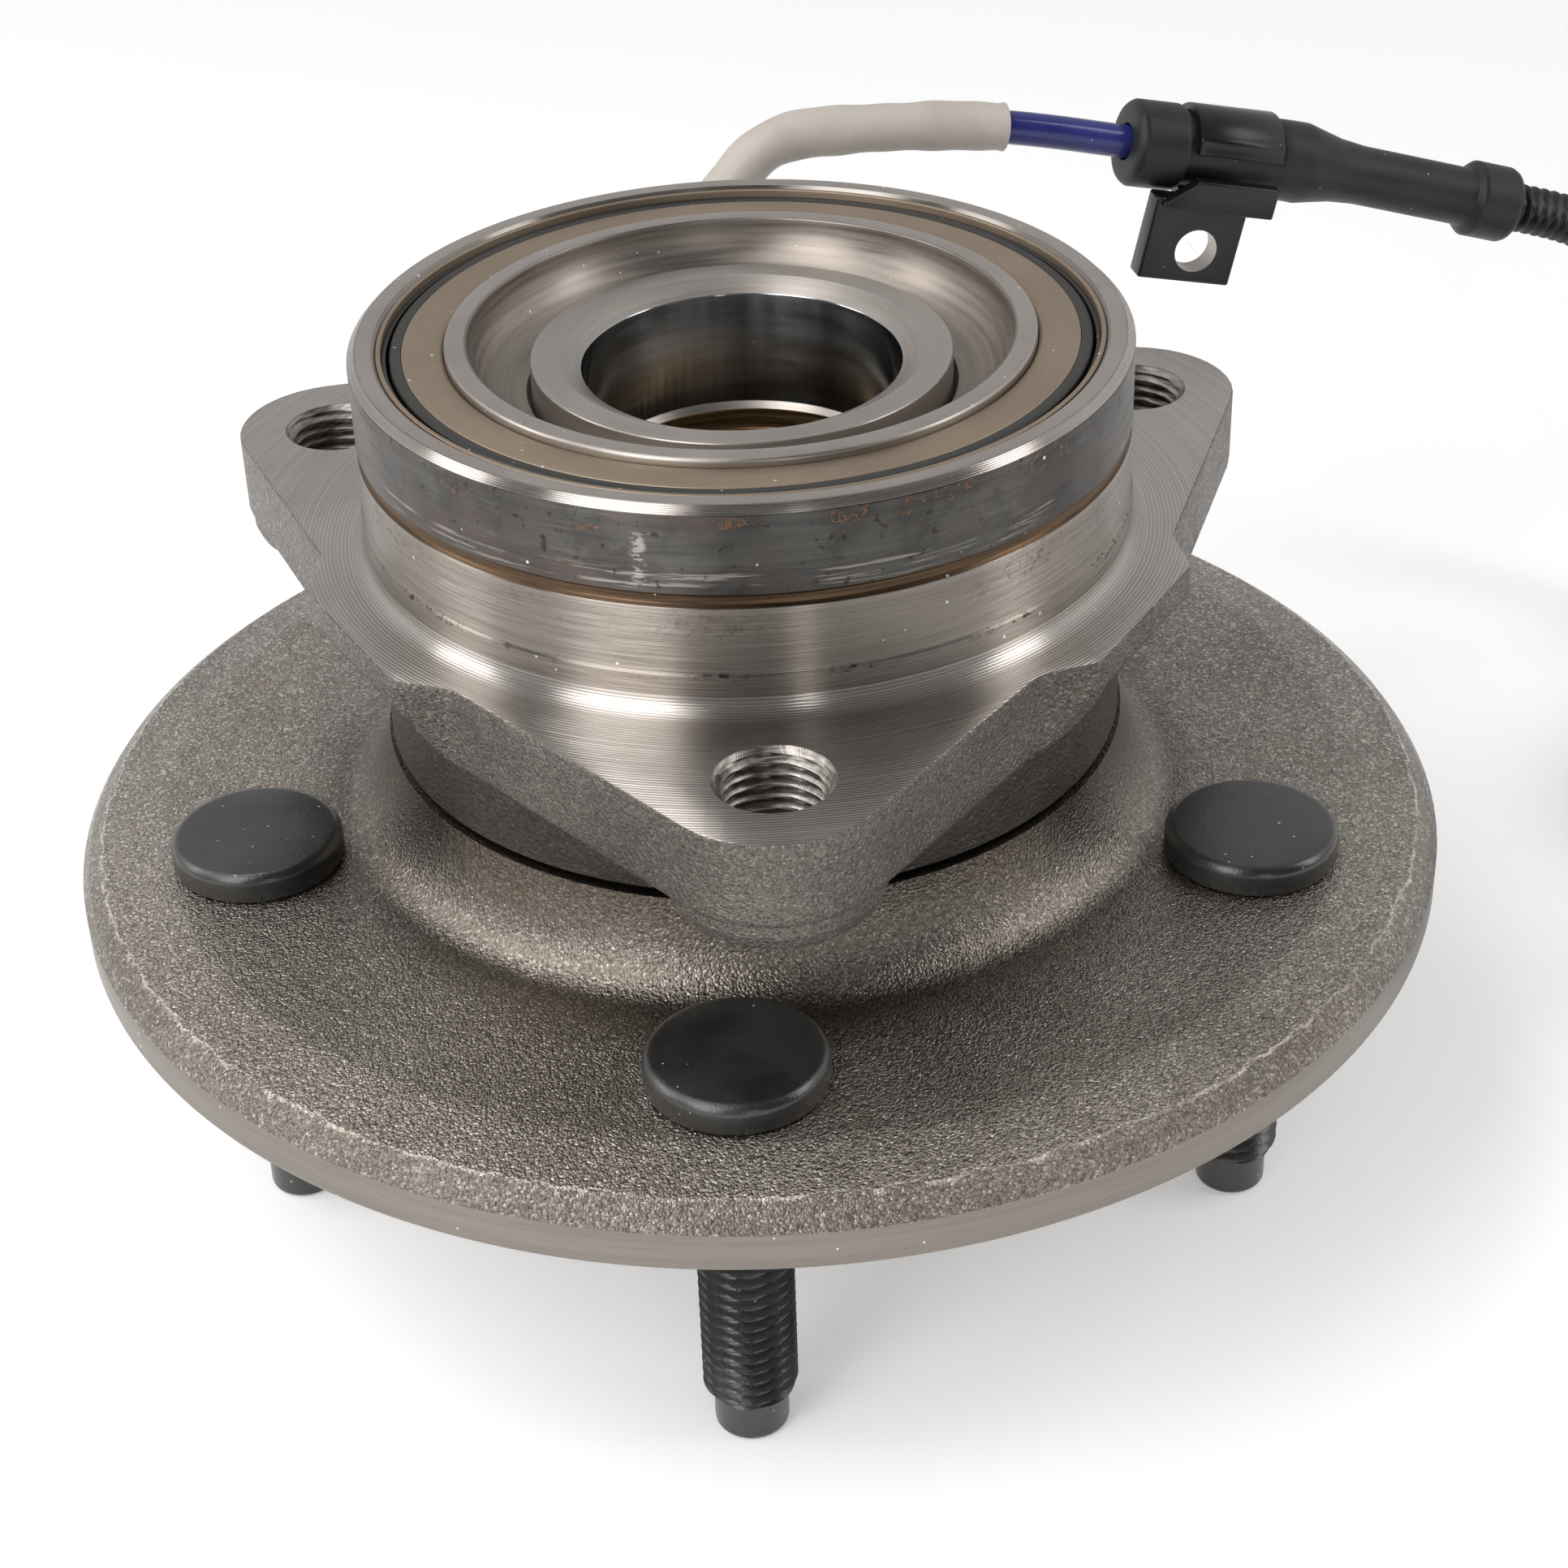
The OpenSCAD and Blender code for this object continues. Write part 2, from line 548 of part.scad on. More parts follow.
module race_ring(back, dished) {
    bore = spindle_d / 2 + press_gap;
    neck = inner_small_z - 0.5;
    rib_z = inner_large_z - rib_h * tan(roller_angle) + 0.1;
    front = [[bore, press_gap + 0.5], [bore + 0.5, press_gap], [inner_race(neck) + 0.9, press_gap],
        [inner_race(neck) + 0.9, neck], [inner_race(neck), neck],
        [inner_race(inner_large_z), inner_large_z + 0.1], [rib_r, rib_z],
        [rib_r, back - rim_edge], [rib_r - rim_edge, back]];
    rim_in = rib_r - rim_w;
    foot = bore + 0.65;
    dish = [for (a = [90:-10:0]) [foot + (rim_in - foot) * sin(a), back - dish_h * cos(a)]];
    turned(concat(front, dished ? concat(dish, [[bore, back - dish_h - 1.2]])
        : [[bore + 0.5, back], [bore, back - 0.5]]));
}
module inboard_row() translate([0, 0, bearing_z]) children();
module outboard_row() translate([0, 0, bearing_z]) mirror([0, 0, 1]) children();
module inboard_ring() color("#8c8480") inboard_row() race_ring(inboard_back, true);
module outboard_ring() color("#8c8480") outboard_row() race_ring(outboard_back - press_gap, false);
module inboard_rollers() color("#b8b4ae") inboard_row() roller_row();
module outboard_rollers() color("#b8b4ae") outboard_row() roller_row();
module inboard_cage() color("#3c3a34") inboard_row() cage_row();
module outboard_cage() color("#3c3a34") outboard_row() cage_row();

// Tone ring, pressed on the spindle's shoulder
module tone_ring() color("#6a6662") {
    step = 360 / tone_teeth;
    root = tone_r - 1.6;
    translate([0, 0, tone_z]) difference() {
        linear_extrude(tone_w) polygon([for (i = [0:tone_teeth - 1]) each
            [polar(root, (i - 0.32) * step), polar(tone_r, (i - 0.22) * step),
                polar(tone_r, (i + 0.22) * step), polar(root, (i + 0.32) * step)]]);
        translate([0, 0, -1]) cylinder(r = rib_r + press_gap, h = tone_w + 2, $fn = 120);
    }
}

// Speed sensor with its seal ring and screw
module speed_sensor() color("#262626") at_sensor() difference() {
    union() {
        rotate([-90, 0, 0]) turned([[0, sensor_tip], [sensor_d / 2 - 0.4, sensor_tip],
            [sensor_d / 2, sensor_tip + 0.4], [sensor_d / 2, pad_y - 4],
            [sensor_d / 2 - o_ring_d / 2, pad_y - 4], [sensor_d / 2 - o_ring_d / 2, pad_y - 2.4],
            [sensor_d / 2, pad_y - 2.4], [sensor_d / 2, pad_y + 1], [0, pad_y + 1]], 48);
        translate([-sensor_head[0] / 2, pad_y, -sensor_head[2] / 2 + 1]) cube(sensor_head);
        translate([0, pad_y, -4]) cube([screw_x, ear_t, 9]);
        translate([screw_x, pad_y + ear_t, 0.5]) rotate([90, 0, 0])
            cylinder(r = 4.5, h = ear_t, $fn = 48);
        translate([0, pad_y + sensor_head[1], 0]) rotate([-90, 0, 0])
            cylinder(d1 = sleeve_d + 1.6, d2 = sleeve_d, h = sensor_neck, $fn = 48);
    }
    translate([screw_x, pad_y + ear_t + 1, 0]) rotate([90, 0, 0])
        cylinder(d = screw_d + 0.3, h = ear_t + 2, $fn = 32);
}
module sensor_o_ring() color("#1c1c1c") at_sensor() rotate([-90, 0, 0])
    translate([0, 0, pad_y - 3.2]) rotate_extrude($fn = 48)
        translate([sensor_bore_d / 2 - o_ring_d / 2 - 0.03, 0]) circle(d = o_ring_d - 0.1, $fn = 24);
module sensor_screw() color("#8e8a80") at_sensor()
    translate([screw_x, pad_y + ear_t, 0]) rotate([90, 0, 0]) difference() {
        union() {
            translate([0, 0, -4.5]) cylinder(d = 9, h = 4.5 - press_gap, $fn = 6);
            translate([0, 0, -press_gap]) cylinder(d = screw_d, h = ear_t + screw_len, $fn = 32);
        }
        translate([0, 0, -5]) cylinder(d = 4, h = 1.6, $fn = 32);
    }

// Lead
module lead_sleeve() color("#c8c3be")
    swept_tube(curve(sleeve_route, 2), sleeve_d / 2, sleeve_wall, 10);
module sensor_lead() color("#2d2d6e") swept_rod(curve(concat(sleeve_route,
    [for (i = [1:len(jacket_route) - 1]) jacket_route[i]],
    [for (i = [1:len(conduit_route) - 1]) conduit_route[i]],
    [for (i = [1:len(floor_route) - 1]) floor_route[i]]), 2), lead_d / 2, 8);
module lead_conduit() color("#3c3c3a")
    swept_tube(curve(conduit_route, 2), conduit_d / 2, conduit_wall, 10);
module lead_coil() color("#2d2d6e") translate([coil_x, coil_y, floor_z])
    rotate_extrude($fn = 90) translate([coil_r - lead_d / 2, 0])
        square([lead_d, (coil_turns + 1) * lead_d]);
module lead_tail() color("#2d2d6e") swept_rod(curve(tail_route, 2), lead_d / 2, 8);
module lead_grommet() color("#2a2a28") {
    first = norm(grommet_knee - grommet_start);
    second = norm(grommet_end - grommet_knee);
    bore = lead_d / 2 + lead_wall;
    rc = grommet_collar_d / 2;
    rb = grommet_d / 2;
    rt = grommet_tube_d / 2;
    re = end_collar_d / 2;
    rk = rb + 0.5;
    difference() {
        union() {
            along_lead(grommet_start, grommet_knee) rotate([0, 90, 0])
                turned([[0, 0], [rc - 1.2, 0], [rc, 1.2], [rc, collar_len - 1],
                    [rc - 1, collar_len], [rb, collar_len], [rb, first], [0, first]], 64);
            translate(grommet_knee) sphere(r = rk, $fn = 64);
            along_lead(grommet_knee, grommet_end) rotate([0, 90, 0])
                turned([[0, 0], [rk - 0.2, 0], [rk - 0.2, taper_start],
                    [rt + 0.6, (taper_start + 2 * taper_end) / 3], [rt, taper_end],
                    [rt, second - 8.4], [re - 0.5, second - 8], [re, second - 7.4],
                    [re, second - 1], [re - 1, second], [0, second]], 64);
        }
        along_lead(grommet_start, grommet_knee) rotate([0, 90, 0])
            translate([0, 0, -1]) cylinder(r = bore, h = first + 1, $fn = 48);
        translate(grommet_knee) sphere(r = bore + 0.1, $fn = 48);
        along_lead(grommet_knee, grommet_end) rotate([0, 90, 0])
            cylinder(r = bore, h = second + 1, $fn = 48);
    }
}
module lead_bracket() color("#2c2c2c") along_lead(grommet_start, grommet_knee) {
    in_r = grommet_d / 2 + press_gap;
    out_r = in_r + saddle_t;
    plate_y = -out_r - 0.4;
    difference() {
        union() {
            translate([saddle_x, 0, 0]) rotate([0, 90, 0])
                cylinder(r = out_r, h = saddle_len, $fn = 64);
            translate([saddle_x, plate_y, -out_r - lip[2] + 1]) cube([lip[0], lip[1], lip[2] + 2]);
            translate([plate_x, plate_y, -plate_drop])
                cube([plate_w, bracket_t, plate_drop - grommet_collar_d / 2]);
        }
        translate([saddle_x - 1, 0, 0]) rotate([0, 90, 0])
            cylinder(r = in_r, h = saddle_len + 2, $fn = 64);
        translate([plate_hole[0], plate_y - 1, plate_hole[1]]) rotate([-90, 0, 0])
            cylinder(d = bracket_hole_d, h = bracket_t + 8, $fn = 48);
    }
}

// Connector on the lead's end, lying on the standing surface
module at_plug() {
    end = tail_route[len(tail_route) - 1];
    translate([end[0], end[1], floor_z]) children();
}
module lead_connector() color("#24242a") at_plug() difference() {
    union() {
        translate([-plug[0] / 2, -plug[1], 0]) cube([plug[0], plug[1] - 6, plug[2]]);
        translate([0, -6.5, plug[2] / 2]) rotate([-90, 0, 0])
            cylinder(d = plug[2] - 1.4, h = 6.5, $fn = 48);
        translate([-latch[0] / 2, -plug[1] + latch_inset, plug[2] - latch_sink]) cube(latch);
    }
    translate([plug_wall - plug[0] / 2, -plug[1] - 1, plug_wall])
        cube([plug[0] - 2 * plug_wall, socket_depth + 1, plug[2] - 2 * plug_wall]);
    translate([0, -3.5, plug[2] / 2]) rotate([-90, 0, 0])
        cylinder(d = plug[2] - 4, h = 5, $fn = 48);
}
module connector_seal() color("#7a3b2e") at_plug() translate([0, -3.5 + press_gap, plug[2] / 2])
    rotate([-90, 0, 0]) difference() {
        cylinder(d = plug[2] - 4 - 2 * press_gap, h = 3.5, $fn = 48);
        translate([0, 0, -1]) cylinder(d = lead_d + 2 * press_gap, h = 6, $fn = 48);
    }
module connector_pins() color("#b08a4a") at_plug() for (s = [-0.5, 0.5])
    translate([s * pin_gap, -plug[1] + socket_depth - press_gap, plug[2] / 2]) rotate([90, 0, 0])
        cylinder(d = pin_d, h = pin_len, $fn = 24);

bearing_housing();
inboard_seal_case();
inboard_seal_lip();
outboard_seal_case();
outboard_seal_lip();
speed_sensor();
sensor_o_ring();
sensor_screw();
lead_sleeve();
sensor_lead();
lead_grommet();
lead_bracket();
lead_conduit();
lead_coil();
lead_tail();
lead_connector();
connector_pins();
connector_seal();
wheel_flange();
wheel_studs();
inboard_ring();
outboard_ring();
tone_ring();
seal_slinger();
slinger_rubber();
inboard_rollers();
inboard_cage();
outboard_rollers();
outboard_cage();
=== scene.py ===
import math

import bmesh
import bpy
import numpy as np
from mathutils import Matrix, Vector


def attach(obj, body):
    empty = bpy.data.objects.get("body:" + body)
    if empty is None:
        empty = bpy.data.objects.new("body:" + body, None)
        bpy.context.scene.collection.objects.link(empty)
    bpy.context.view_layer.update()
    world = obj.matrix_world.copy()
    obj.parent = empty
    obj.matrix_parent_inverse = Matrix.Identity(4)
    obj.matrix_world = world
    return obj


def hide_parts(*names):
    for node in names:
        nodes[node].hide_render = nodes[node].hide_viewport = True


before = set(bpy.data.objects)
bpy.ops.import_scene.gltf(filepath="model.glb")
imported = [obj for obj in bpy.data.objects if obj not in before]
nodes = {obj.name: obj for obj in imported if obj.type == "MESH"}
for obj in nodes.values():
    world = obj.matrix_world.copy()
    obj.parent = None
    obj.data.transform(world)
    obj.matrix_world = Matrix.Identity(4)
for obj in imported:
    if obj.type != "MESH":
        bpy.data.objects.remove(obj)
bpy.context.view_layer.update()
scene = bpy.context.scene
mm = 0.001

# Camera at the photograph's view, in millimetres and degrees
photoCamera = {
    "place": (-9.607, -349.603, 232.421),
    "turn": 2.144,      # to the right of +Y
    "down": 32.868,
    "roll": -1.9155,
    "lens": 70.417,
}


def newObject(name, data):
    made = bpy.data.objects.new(name, data)
    scene.collection.objects.link(made)
    return made


def placeCamera(view):
    turn, down, roll = (math.radians(view[k]) for k in ("turn", "down", "roll"))
    ahead = Vector((math.sin(turn) * math.cos(down), math.cos(turn) * math.cos(down), -math.sin(down)))
    side = Vector((math.cos(turn), -math.sin(turn), 0))
    up = side.cross(ahead)
    right = math.cos(roll) * side + math.sin(roll) * up
    top = -math.sin(roll) * side + math.cos(roll) * up
    data = bpy.data.cameras.new("photoCamera")
    data.lens = view["lens"]
    data.sensor_width = 36
    data.clip_start = 0.01
    scene.camera = newObject("photoCamera", data)
    rows = [(right[k], top[k], -ahead[k], view["place"][k] * mm) for k in range(3)]
    scene.camera.matrix_world = Matrix((*rows, (0, 0, 0, 1)))


placeCamera(photoCamera)


# Small helpers for shader nodes
def shade(red, green, blue):
    # a display colour, 0 to 255, as linear light
    parts = (c / 255 for c in (red, green, blue))
    return tuple(((c + 0.055) / 1.055) ** 2.4 if c > 0.04045 else c / 12.92 for c in parts)


def put(tree, socket, value):
    if isinstance(value, bpy.types.NodeSocket):
        tree.links.new(value, socket)
    elif isinstance(value, tuple) and len(value) == 3 and socket.type == "RGBA":
        socket.default_value = (*value, 1)
    else:
        socket.default_value = value


def maths(tree, operation, a, b=None):
    node = tree.nodes.new("ShaderNodeMath")
    node.operation = operation
    put(tree, node.inputs[0], a)
    if b is not None:
        put(tree, node.inputs[1], b)
    return node.outputs[0]


def product(tree, first, *others):
    for other in others:
        first = maths(tree, "MULTIPLY", first, other)
    return first


def blend(tree, share, a, b):
    node = tree.nodes.new("ShaderNodeMix")
    node.data_type = "RGBA"
    put(tree, node.inputs[0], share)
    put(tree, node.inputs[6], a)
    put(tree, node.inputs[7], b)
    return node.outputs[2]


def between(tree, value, low, high, start=0.0, stop=1.0):
    # smooth step of a value from low..high to start..stop
    node = tree.nodes.new("ShaderNodeMapRange")
    node.interpolation_type = "SMOOTHSTEP"
    for socket, v in zip(node.inputs[0:5], (value, low, high, start, stop)):
        put(tree, socket, v)
    return node.outputs[0]


def placed(tree, scale=(1, 1, 1)):
    # the piece's own coordinates, stretched
    coordinates = tree.nodes.new("ShaderNodeTexCoord")
    mapping = tree.nodes.new("ShaderNodeMapping")
    tree.links.new(coordinates.outputs["Object"], mapping.inputs["Vector"])
    mapping.inputs["Scale"].default_value = scale
    return mapping.outputs[0]


def placedParts(tree):
    # x, y and z of the piece's own coordinates
    parts = tree.nodes.new("ShaderNodeSeparateXYZ")
    tree.links.new(placed(tree), parts.inputs[0])
    return parts.outputs


def axisDistance(tree):
    # distance from the spin axis, in metres
    flat = tree.nodes.new("ShaderNodeVectorMath")
    flat.operation = "LENGTH"
    tree.links.new(placed(tree, (1, 1, 0)), flat.inputs[0])
    return flat.outputs["Value"]


def noise(tree, vector, scale, detail, roughness, dimensions="3D"):
    node = tree.nodes.new("ShaderNodeTexNoise")
    node.noise_dimensions = dimensions
    put(tree, node.inputs["W" if dimensions == "1D" else "Vector"], vector)
    put(tree, node.inputs["Scale"], scale)
    node.inputs["Detail"].default_value = detail
    node.inputs["Roughness"].default_value = roughness
    return node.outputs[0]


def patchy(tree, scale, detail, roughness, low, high, start=0.0, stop=1.0, stretch=(1, 1, 1)):
    # noise on the piece, stepped from low..high to start..stop
    return between(tree, noise(tree, placed(tree, stretch), scale, detail, roughness), low, high, start, stop)


def tint(tree, colour, share, *display):
    return blend(tree, share, colour, shade(*display))


def cellNoise(tree, scale):
    # distance to the nearest of scattered points, and a random share for each of them
    cells = tree.nodes.new("ShaderNodeTexVoronoi")
    tree.links.new(placed(tree), cells.inputs["Vector"])
    put(tree, cells.inputs["Scale"], scale)
    parts = tree.nodes.new("ShaderNodeSeparateColor")
    tree.links.new(cells.outputs["Color"], parts.inputs[0])
    return cells.outputs["Distance"], parts.outputs[0]


def effect(name, inputs, outputs):
    group = bpy.data.node_groups.new(name, "ShaderNodeTree")
    for label, value in inputs.items():
        socket = group.interface.new_socket(label, in_out="INPUT", socket_type="NodeSocketFloat")
        socket.default_value = value
    for label in outputs:
        group.interface.new_socket(label, in_out="OUTPUT", socket_type="NodeSocketFloat")
    return group, group.nodes.new("NodeGroupInput"), group.nodes.new("NodeGroupOutput")


def useEffect(tree, group, **values):
    node = tree.nodes.new("ShaderNodeGroup")
    node.node_tree = group
    for label, value in values.items():
        put(tree, node.inputs[label], value)
    return node.outputs


# Shared effects
def makeCastGrain():
    # pebbled skin of a shot-blasted forging; Size is features a metre
    group, given, result = effect("castGrain", {"Size": 1300}, ("Height", "Facet", "Pit"))
    size = given.outputs["Size"]
    distance, share = cellNoise(group, product(group, size, 1.2))
    fine = noise(group, placed(group), product(group, size, 0.8), 3.0, 0.65)
    broad = noise(group, placed(group), product(group, size, 0.16), 2.0, 0.5)
    height = maths(group, "ADD", product(group, fine, 0.8), product(group, distance, -0.4))
    put(group, result.inputs["Height"], maths(group, "ADD", height, product(group, broad, 0.4)))
    put(group, result.inputs["Facet"], between(group, share, 0.72, 0.96))
    put(group, result.inputs["Pit"], between(group, height, 0.06, 0.28, 1, 0))
    return group


def makeTurnedLines():
    # tool marks round the axis, on flat faces and walls alike; Lines a metre, Lean is 1 or -1
    group, given, result = effect("turnedLines", {"Lines": 2600, "Lean": 1}, ("Height", "Tone"))
    lines, lean = given.outputs["Lines"], given.outputs["Lean"]
    along = maths(group, "ADD", axisDistance(group), product(group, placedParts(group)[2], lean))
    turns = product(group, along, product(group, lines, 2 * math.pi))
    feed = product(group, maths(group, "SINE", turns), 0.35)
    uneven = noise(group, along, product(group, lines, 0.8), 2.0, 0.6, "1D")
    tone = noise(group, along, product(group, lines, 0.22), 2.0, 0.5, "1D")
    put(group, result.inputs["Height"], maths(group, "ADD", feed, uneven))
    put(group, result.inputs["Tone"], tone)
    return group


def makeStreaks():
    # marks that run round a wall: rubbed scratches and smears
    group, given, result = effect("wallStreaks", {"Length": 60, "Lines": 1500}, ("Fine", "Smear"))
    stretch = group.nodes.new("ShaderNodeCombineXYZ")
    for k, label in enumerate(("Length", "Length", "Lines")):
        put(group, stretch.inputs[k], given.outputs[label])
    scaled = group.nodes.new("ShaderNodeVectorMath")
    scaled.operation = "MULTIPLY"
    put(group, scaled.inputs[0], placed(group))
    put(group, scaled.inputs[1], stretch.outputs[0])
    put(group, result.inputs["Fine"], noise(group, scaled.outputs[0], 1.0, 3.0, 0.6))
    put(group, result.inputs["Smear"], noise(group, scaled.outputs[0], 0.21, 3.0, 0.6))
    return group


def makeStains():
    # soft patches with broken edges; Amount from 0 to 1
    group, given, result = effect("stains", {"Size": 60, "Amount": 0.3}, ("Mask",))
    patches = noise(group, placed(group), given.outputs["Size"], 4.0, 0.6)
    limit = maths(group, "SUBTRACT", 0.78, product(group, given.outputs["Amount"], 0.4))
    put(group, result.inputs["Mask"], between(group, patches, limit, maths(group, "ADD", limit, 0.10)))
    return group


def makeDust():
    # scattered pale specks; Size is cells a metre
    group, given, result = effect("dustSpecks", {"Size": 420, "Reach": 0.09}, ("Mask",))
    distance, share = cellNoise(group, given.outputs["Size"])
    reach = product(group, given.outputs["Reach"], between(group, share, 0.45, 1.0))
    put(group, result.inputs["Mask"], maths(group, "LESS_THAN", distance, reach))
    return group


castGrain = makeCastGrain()
turnedLines = makeTurnedLines()
wallStreaks = makeStreaks()
stains = makeStains()
dustSpecks = makeDust()


# Materials
def newSurface(name):
    material = bpy.data.materials.new(name)
    material.use_nodes = True
    tree = material.node_tree
    return material, tree, tree.nodes["Principled BSDF"]


def addBump(tree, shader, height, depth):
    # depth in millimetres
    bump = tree.nodes.new("ShaderNodeBump")
    bump.inputs["Strength"].default_value = 1.0
    bump.inputs["Distance"].default_value = depth * mm
    put(tree, bump.inputs["Height"], height)
    tree.links.new(bump.outputs[0], shader.inputs["Normal"])


def turnRound(tree, shader, amount):
    # reflections spread across the tool marks, which run round the axis
    coordinates = tree.nodes.new("ShaderNodeTexCoord")
    across = tree.nodes.new("ShaderNodeVectorMath")
    across.operation = "CROSS_PRODUCT"
    across.inputs[0].default_value = (0, 0, 1)
    tree.links.new(coordinates.outputs["Object"], across.inputs[1])
    outward = tree.nodes.new("ShaderNodeVectorTransform")
    outward.vector_type = "VECTOR"
    outward.convert_from = "OBJECT"
    outward.convert_to = "WORLD"
    tree.links.new(across.outputs[0], outward.inputs[0])
    tree.links.new(outward.outputs[0], shader.inputs["Tangent"])
    shader.inputs["Anisotropic"].default_value = amount
    shader.inputs["Anisotropic Rotation"].default_value = 0.25


def heightBand(tree, low, high, soft):
    # 1 between two heights in millimetres, with soft edges
    height = placedParts(tree)[2]
    rise = between(tree, height, (low - soft) * mm, (low + soft) * mm)
    fall = between(tree, height, (high - soft) * mm, (high + soft) * mm, 1, 0)
    return product(tree, rise, fall)


def turnedMetal(name, look, extra=None):
    material, tree, shader = newSurface(name)
    marks = useEffect(tree, turnedLines, Lines=look["lines"], Lean=look.get("lean", 1))
    length, lines = look.get("streaks", (60, 1500))
    streaks = useEffect(tree, wallStreaks, Length=length, Lines=lines)
    tone = maths(tree, "ADD", product(tree, marks["Tone"], 0.3), product(tree, streaks["Fine"], 0.7))
    colour = tint(tree, shade(*look["dark"]), between(tree, tone, 0.3, 0.7), *look["light"])
    colour = tint(tree, colour, between(tree, streaks["Smear"], 0.5, 0.8, 0, 0.4), *look["dark"])
    if look.get("lineShade"):
        # painted shade in the grooves of the tool marks, which breaks highlights into fine lines
        grooveShade = between(tree, marks["Height"], 0.25, 0.75, look["lineShade"], 0)
        colour = tint(tree, colour, grooveShade, 70, 66, 62)
    if look.get("stain"):
        patches = useEffect(tree, stains, Size=look["stainSize"], Amount=look["stainAmount"])
        share = product(tree, patches["Mask"], look["stainDepth"])
        colour = tint(tree, colour, share, *look["stain"])
    if extra:
        colour = extra(tree, colour, streaks)
    specks = useEffect(tree, dustSpecks, Size=look.get("dust", 420))
    put(tree, shader.inputs["Base Color"], tint(tree, colour, specks["Mask"], 224, 221, 217))
    shader.inputs["Metallic"].default_value = 1.0
    low, high = look["roughness"]
    put(tree, shader.inputs["Roughness"], between(tree, streaks["Fine"], 0.3, 0.7, low, high))
    addBump(tree, shader, marks["Height"], look["depth"])
    turnRound(tree, shader, look["spread"])
    return material


# Heights and places of the marks on the pilot, in millimetres
pilotMarks = {
    "stepPits": (52.3, 53.1), "groovePits": (57.5, 61.2), "rubbed": (63.8, 66.2), "rust": (70.5, 73.2),
    "scratchX": -13.8, "scratch": (64.6, 70.8), "scratchHalf": (0.3, 1.0), "scratchFront": (-40, -42),
}


def stepPits(tree, colour, streaks):
    # rust pits along the step and under the groove of the pilot
    m = pilotMarks
    zone = maths(tree, "MAXIMUM", heightBand(tree, *m["stepPits"], 0.25),
                 product(tree, heightBand(tree, *m["groovePits"], 1.6), 0.5))
    share = product(tree, zone, patchy(tree, 70, 3, 0.6, 0.42, 0.6), patchy(tree, 1100, 4, 0.7, 0.5, 0.62))
    return tint(tree, colour, share, 70, 50, 38)


def rubbedOxide(tree, colour, streaks):
    # mottled oxide: bare metal rubbed through near the lower edge and in one upright scratch,
    # rust outlines near the top, dark pits
    m = pilotMarks
    colour = tint(tree, colour, patchy(tree, 130, 4, 0.6, 0.42, 0.62, 0, 0.5), 58, 55, 53)
    violet = patchy(tree, 85, 2, 0.5, 0.5, 0.62, 0, 0.5)
    colour = tint(tree, colour, violet, 96, 84, 78)
    rubbed = product(tree, between(tree, streaks["Fine"], 0.54, 0.62), heightBand(tree, *m["rubbed"], 0.5))
    rubbed = product(tree, rubbed, patchy(tree, 60, 2, 0.5, 0.46, 0.54), 0.6)
    colour = tint(tree, colour, rubbed, 180, 173, 164)
    fine = between(tree, streaks["Fine"], 0.68, 0.74)
    colour = tint(tree, colour, product(tree, fine, 0.4), 156, 150, 142)
    x, y, _ = placedParts(tree)
    wander = patchy(tree, 700, 3, 0.7, 0.3, 0.7, -0.8 * mm, 0.8 * mm, (0, 0, 1))
    across = maths(tree, "ADD", maths(tree, "ADD", x, -m["scratchX"] * mm), wander)
    near, far = (v * mm for v in m["scratchHalf"])
    scratch = between(tree, maths(tree, "ABSOLUTE", across), near, far, 1, 0)
    front = between(tree, y, *(v * mm for v in m["scratchFront"]))
    broken = patchy(tree, 2600, 2, 0.6, 0.42, 0.55, stretch=(0.3, 0.3, 1))
    scratch = product(tree, scratch, front, heightBand(tree, *m["scratch"], 0.5), broken, 0.6)
    colour = tint(tree, colour, scratch, 186, 180, 172)
    pits = patchy(tree, 800, 3, 0.6, 0.62, 0.70)
    colour = tint(tree, colour, product(tree, pits, 0.7), 48, 42, 38)
    # rust follows one level line of a noise, as a tide mark does
    tide = maths(tree, "SUBTRACT", noise(tree, placed(tree), 130, 4, 0.7), 0.60)
    outline = between(tree, maths(tree, "ABSOLUTE", tide), 0.002, 0.014, 1, 0)
    rust = product(tree, outline, heightBand(tree, *m["rust"], 0.8), 0.8)
    return tint(tree, colour, rust, 134, 98, 74)


# Radii of the forging's bright line, its darker bevel and the painted shade at its collar root, in
# millimetres
forgingMarks = {"line": (87.3, 87.5, 87.6, 87.8), "bevel": (87.7, 88.1), "root": (51, 61)}


def forgingLineAndShade(tree, colour):
    # a broken bright line where the plateau breaks into the bevel, a darker bevel, and painted shade in the
    # collar root
    m = {label: [v * mm for v in radii] for label, radii in forgingMarks.items()}
    wander = patchy(tree, 260, 3, 0.6, 0.3, 0.7, -0.35 * mm, 0.35 * mm)
    radius = maths(tree, "ADD", axisDistance(tree), wander)
    rise, fall = between(tree, radius, *m["line"][:2]), between(tree, radius, *m["line"][2:], 1, 0)
    broken = patchy(tree, 120, 3, 0.7, 0.36, 0.52)
    colour = tint(tree, colour, product(tree, rise, fall, broken, 0.55), 222, 214, 204)
    # painted shade: darkest at the collar, gone by the plateau
    root = between(tree, radius, *m["root"], 0.5, 0)
    bevel = between(tree, radius, *m["bevel"], 0, 0.35)
    return tint(tree, colour, maths(tree, "ADD", root, bevel), 88, 81, 73)


